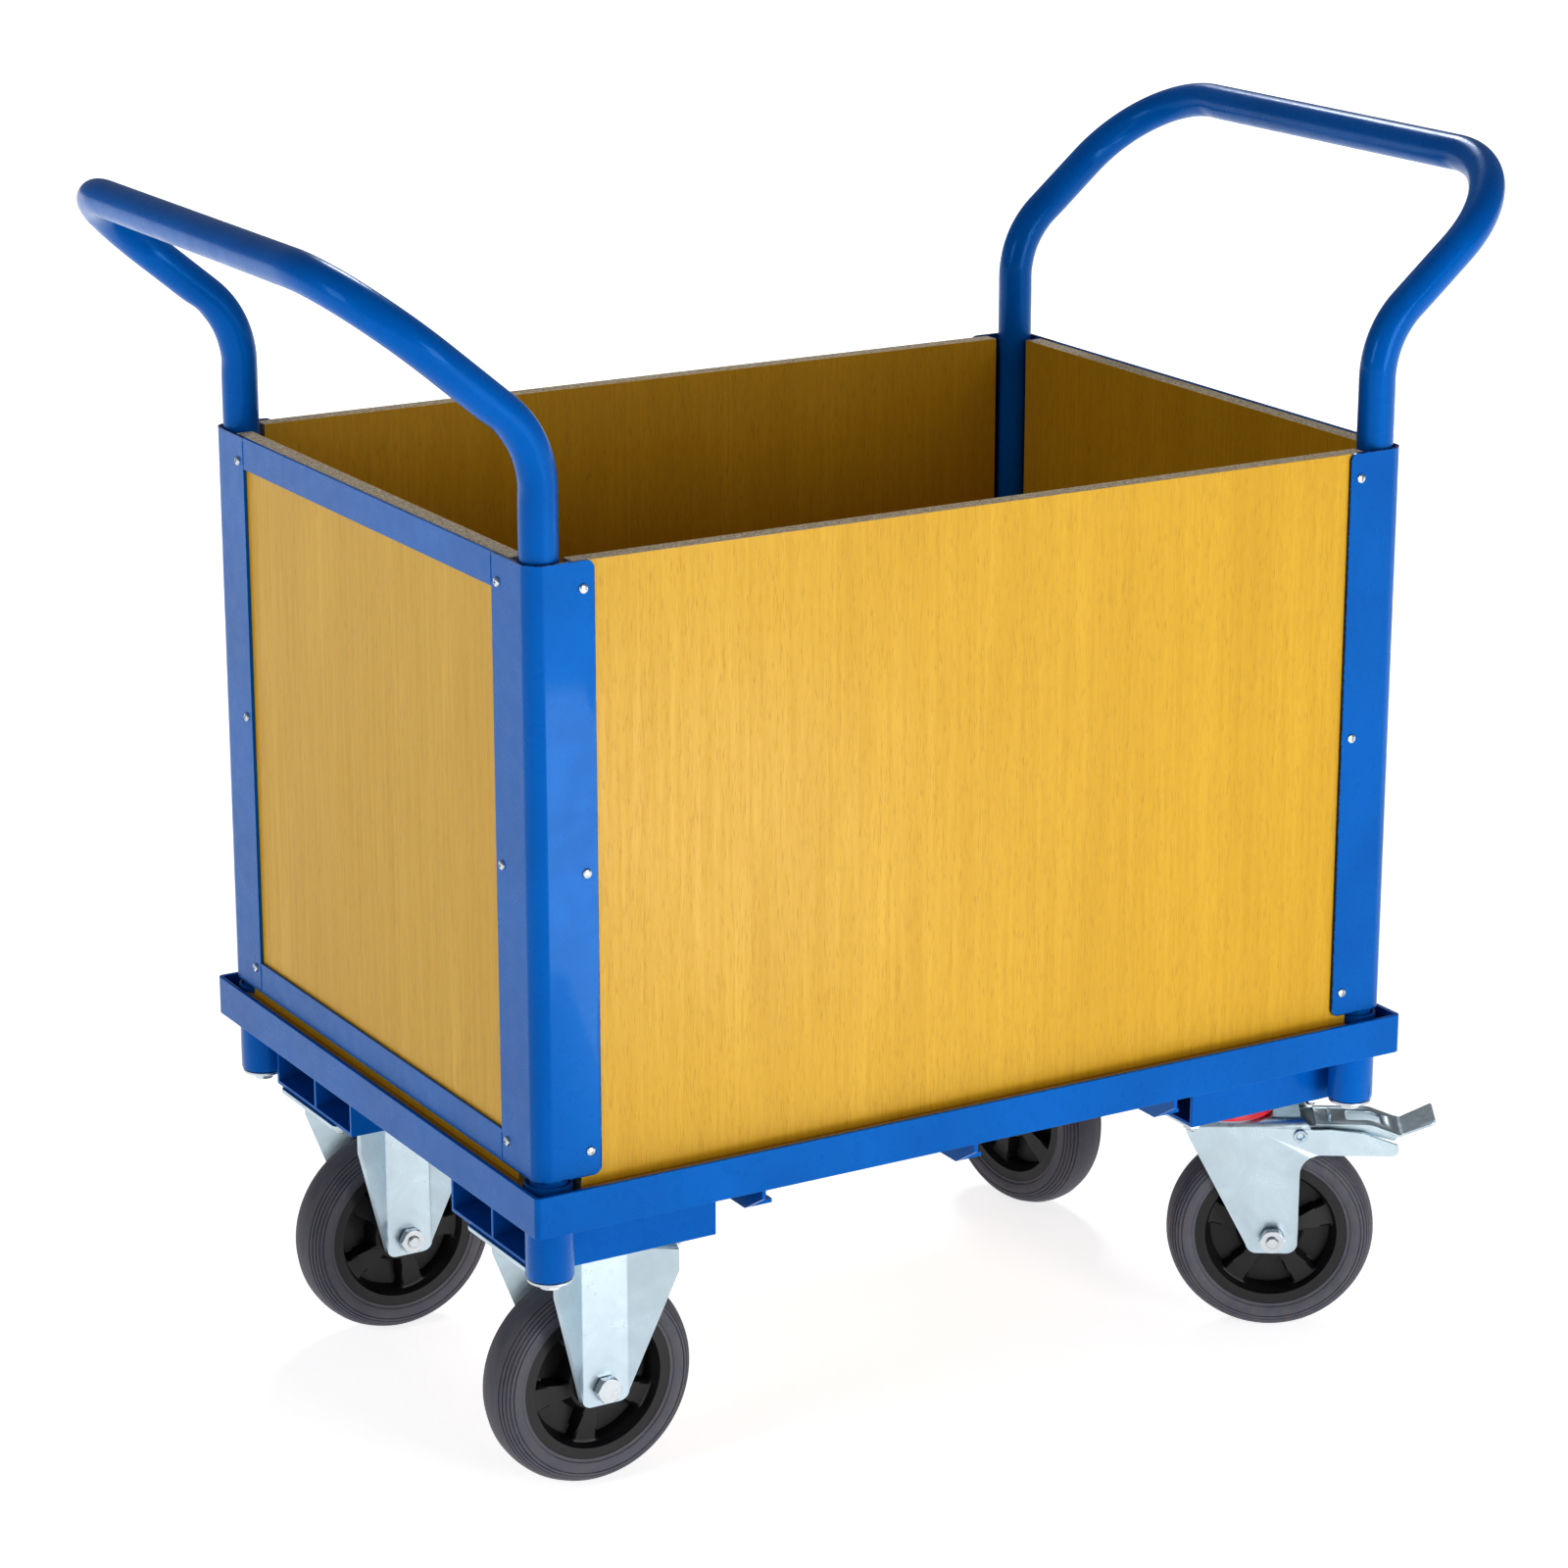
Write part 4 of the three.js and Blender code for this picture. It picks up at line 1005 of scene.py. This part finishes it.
def pedal():
    """Channel plate with a window and a raised lug, an upturned foot tab, lips, shoe and rivet."""
    half, sheet = 26.0, 2.5
    line_points = strip([(84, 214.2), (137, 214.3), (166, 203.4), (199, 219.7)], 5.0)
    runs = [0.0]
    for a, b in zip(line_points, line_points[1:]):
        runs.append(runs[-1] + math.dist(a, b))

    def place(u, v):
        for i in range(len(runs) - 1):
            if u <= runs[i + 1] or i == len(runs) - 2:
                share = (u - runs[i]) / (runs[i + 1] - runs[i])
                (x0, z0), (x1, z1) = line_points[i], line_points[i + 1]
                droop = 1.2 * max(0, (abs(v) - 19) / 7) ** 2 if u > runs[-1] - 24 else 0
                return x0 + (x1 - x0) * share, v, z0 + (z1 - z0) * share - droop

    length = runs[-1]
    plate_end = runs[-1] - math.dist((168, 204.4), (199, 219.7))
    outline = [(0, -half), (plate_end - 2, -half), (plate_end, -half + 3), (plate_end + 3, -half + 3),
               *arc((length - 5, -half + 5), 5, 270, 360, 4), *arc((length - 5, half - 5), 5, 0, 90, 4),
               (plate_end + 3, half - 3), (plate_end, half - 3), (plate_end - 2, half), (0, half)]
    plate = folded(outline, place, runs[1:-1], (-22, -19, 19, 22), sheet, 0.5)
    window = bevelled(block((114, 148), (-13, 13), (195, 225)), 3.0, 3)
    plate = carved(plate, window)
    lip = [(59, 201), *arc((66, 206), 7, 200, 100, 6), (84, 213.8), (100, 213.9), (137, 213.9),
           (163, 203.2), (160, 199.5), (137, 205), (100, 200), (80, 199)]
    flat = Matrix.Rotation(math.radians(90), 4, "X")
    lips = [bevelled(moved(prism(lip, y, y + sheet), flat), 0.4) for y in (-half, half - sheet)]
    bar = prism([(89, 196), (95, 196), (95, 213), (89, 213)], -half + 1.5, half - 1.5)
    shoe = bevelled(moved(bar, flat), 0.6)
    lug = bevelled(block((97, 100), (-9, 9), (213.5, 219.5)), 0.7)
    pivot, head = (69.5, 0, 206), FORK_MIDDLE + FORK_SHEET / 2 + 0.4
    rolled = [(4, head), (7, head), (6.8, head + 1.2), (5.6, head + 2.4), (4.2, head + 2.4),
              (3.2, head + 1.2), (2.8, head - 1.0), (0, head - 1.0)]
    rivet = lathe([(radius, -away) for radius, away in rolled[::-1]] + rolled, 32)
    rivet = smooth(moved(rivet, Matrix.Translation(pivot) @ along_y()), 30)
    return merged(plate, *lips, shoe, lug, rivet)


RIM_TURNS = {"front_left": 28, "front_right": 54, "back_left": 5, "back_right": 40}


def wheel_pieces(corner, head_side, fork_body):
    matrix = heading_matrix(joint(f"wheel_spin_{corner}"))
    wheel_body = f"wheel_{corner}"
    spin = Matrix.Rotation(math.radians(RIM_TURNS[corner]), 4, "Y")
    piece(f"tyre_tread_{corner}", moved(tyre(), along_y()), wheel_body, "tyre_rubber", RUBBER,
          replaces=[f"tyre_{corner}"], frame_matrix=matrix)
    piece(f"rim_moulding_{corner}", moved(rim(), spin @ along_y()), wheel_body, "rim_plastic",
          BLACK_PLASTIC, replaces=[f"wheel_rim_{corner}"], frame_matrix=matrix)
    bolt, nut = axle_parts(head_side)
    piece(f"axle_hex_bolt_{corner}", bolt, fork_body, "zinc_fastener", ZINC_FASTENER,
          replaces=[f"axle_bolt_{corner}"], frame_matrix=matrix)
    piece(f"axle_hex_nut_{corner}", nut, fork_body, "zinc_fastener", ZINC_FASTENER,
          replaces=[f"axle_nut_{corner}"], frame_matrix=matrix)


def casters():
    for corner in FIXED:
        x, y, _ = joint(f"wheel_spin_{corner}")["pos_m"]
        at = Matrix.Translation((x, y, 0))
        piece(f"fork_{corner}", fixed_fork(), TROLLEY, "zinc_sheet", ZINC_SHEET,
              replaces=[f"fixed_fork_{corner}"], frame_matrix=at)
        piece(f"plate_bolts_{corner}", plate_bolts(), TROLLEY, "zinc_fastener", ZINC_FASTENER,
              frame_matrix=at)
        wheel_pieces(corner, CORNERS[corner][1], TROLLEY)
    for corner in SWIVEL:
        x, y, _ = joint(f"swivel_{corner}")["pos_m"]
        at = Matrix.Translation((x, y, 0))
        turned = at @ heading_matrix(joint(f"wheel_spin_{corner}")).to_3x3().to_4x4()
        fork_body = f"fork_{corner}"
        plate = merged(top_plate(SWIVEL_PLATE_HALF_WIDTH), plate_head())
        piece(f"plate_{corner}", plate, TROLLEY, "zinc_sheet", ZINC_SHEET,
              replaces=[f"caster_plate_{corner}"], frame_matrix=at)
        piece(f"plate_bolts_{corner}", plate_bolts(), TROLLEY, "zinc_fastener", ZINC_FASTENER,
              frame_matrix=at)
        piece(f"seal_{corner}", seal_ring(), TROLLEY, "seal_plastic", RED_PLASTIC,
              replaces=[f"seal_ring_{corner}"], frame_matrix=at)
        fork = merged(swivel_fork(), swivel_head())
        piece(f"fork_{corner}", fork, fork_body, "zinc_sheet", ZINC_SHEET,
              replaces=[f"swivel_fork_{corner}"], frame_matrix=turned)
        piece(f"pedal_{corner}", pedal(), f"brake_{corner}", "zinc_sheet", ZINC_SHEET,
              replaces=[f"brake_pedal_{corner}"], frame_matrix=turned)
        wheel_pieces(corner, 1, fork_body)


# ---- studio -------------------------------------------------------------------------------------
def camera():
    data = bpy.data.cameras.new("camera")
    data.sensor_width = 36.0
    data.lens = 103.1
    obj = bpy.data.objects.new("camera", data)
    obj.location = (-2.070, -3.490, 1.774)
    tilt_down, turn_right = 16.8, 30.43
    obj.rotation_euler = (math.radians(90 - tilt_down), 0, math.radians(-turn_right))
    bpy.context.scene.collection.objects.link(obj)
    bpy.context.scene.camera = obj


def area_light(name, location, target, size, power, colour=(1, 1, 1)):
    data = bpy.data.lights.new(name, "AREA")
    data.shape = "RECTANGLE"
    data.size, data.size_y = size
    data.energy = power
    data.color = colour
    obj = bpy.data.objects.new(name, data)
    obj.location = location
    obj.rotation_euler = (Vector(target) - Vector(location)).to_track_quat("-Z", "Y").to_euler()
    bpy.context.scene.collection.objects.link(obj)


def floor():
    look = Look("pale_floor", Roughness=0.6, Specular_IOR_Level=0.2)
    look.shader.inputs["Emission Color"].default_value = rgb(1, 1, 1)
    away = look.node("ShaderNodeVectorMath", {0: look.place}, operation="LENGTH").outputs["Value"]
    look.feed("Emission Strength", look.levels(away, 1.2, 4.5, 0.62, 1.0))
    speckle = look.levels(look.noise(30.0, 3.0), 0.3, 0.7)
    look.feed("Base Color", look.mix(speckle, rgb(0.78, 0.78, 0.78), rgb(0.81, 0.81, 0.81)))
    bm = bmesh.new()
    bmesh.ops.create_circle(bm, cap_ends=True, segments=96, radius=40)
    mesh = to_mesh(bm)
    mesh.materials.append(look.material)
    obj = bpy.data.objects.new("floor", mesh)
    obj.location.z = -0.0005
    bpy.context.scene.collection.objects.link(obj)


def studio():
    # a dim room lights the trolley from above, but the camera itself sees white behind it
    world = bpy.data.worlds.new("studio")
    world.use_nodes = True
    tree = world.node_tree
    seen = tree.nodes.new("ShaderNodeLightPath").outputs["Is Camera Ray"]
    strength = tree.nodes.new("ShaderNodeMapRange")
    strength.inputs["To Min"].default_value = 0.18
    strength.inputs["To Max"].default_value = 1.0
    tree.links.new(seen, strength.inputs["Value"])
    tree.links.new(strength.outputs[0], tree.nodes["Background"].inputs["Strength"])
    tree.nodes["Background"].inputs["Color"].default_value = rgb(1, 1, 1)
    bpy.context.scene.world = world
    bpy.context.scene.view_settings.view_transform = "Standard"
    bpy.context.scene.view_settings.look = "Medium High Contrast"
    floor()
    area_light("key", (0.8, -4.2, 1.2), (0, 0, 0.5), (1.6, 1.6), 46)
    area_light("left_fill", (-4.0, -0.8, 2.1), (0, 0, 0.6), (1.2, 1.6), 26)
    area_light("rim", (1.6, 2.4, 3.2), (0, 0, 0.9), (0.8, 0.8), 30)
    area_light("low_card", (0.35, -1.65, 0.04), (-0.35, -0.33, 0.55), (0.6, 0.6), 8)


base()
walls()
handles()
casters()
studio()
camera()
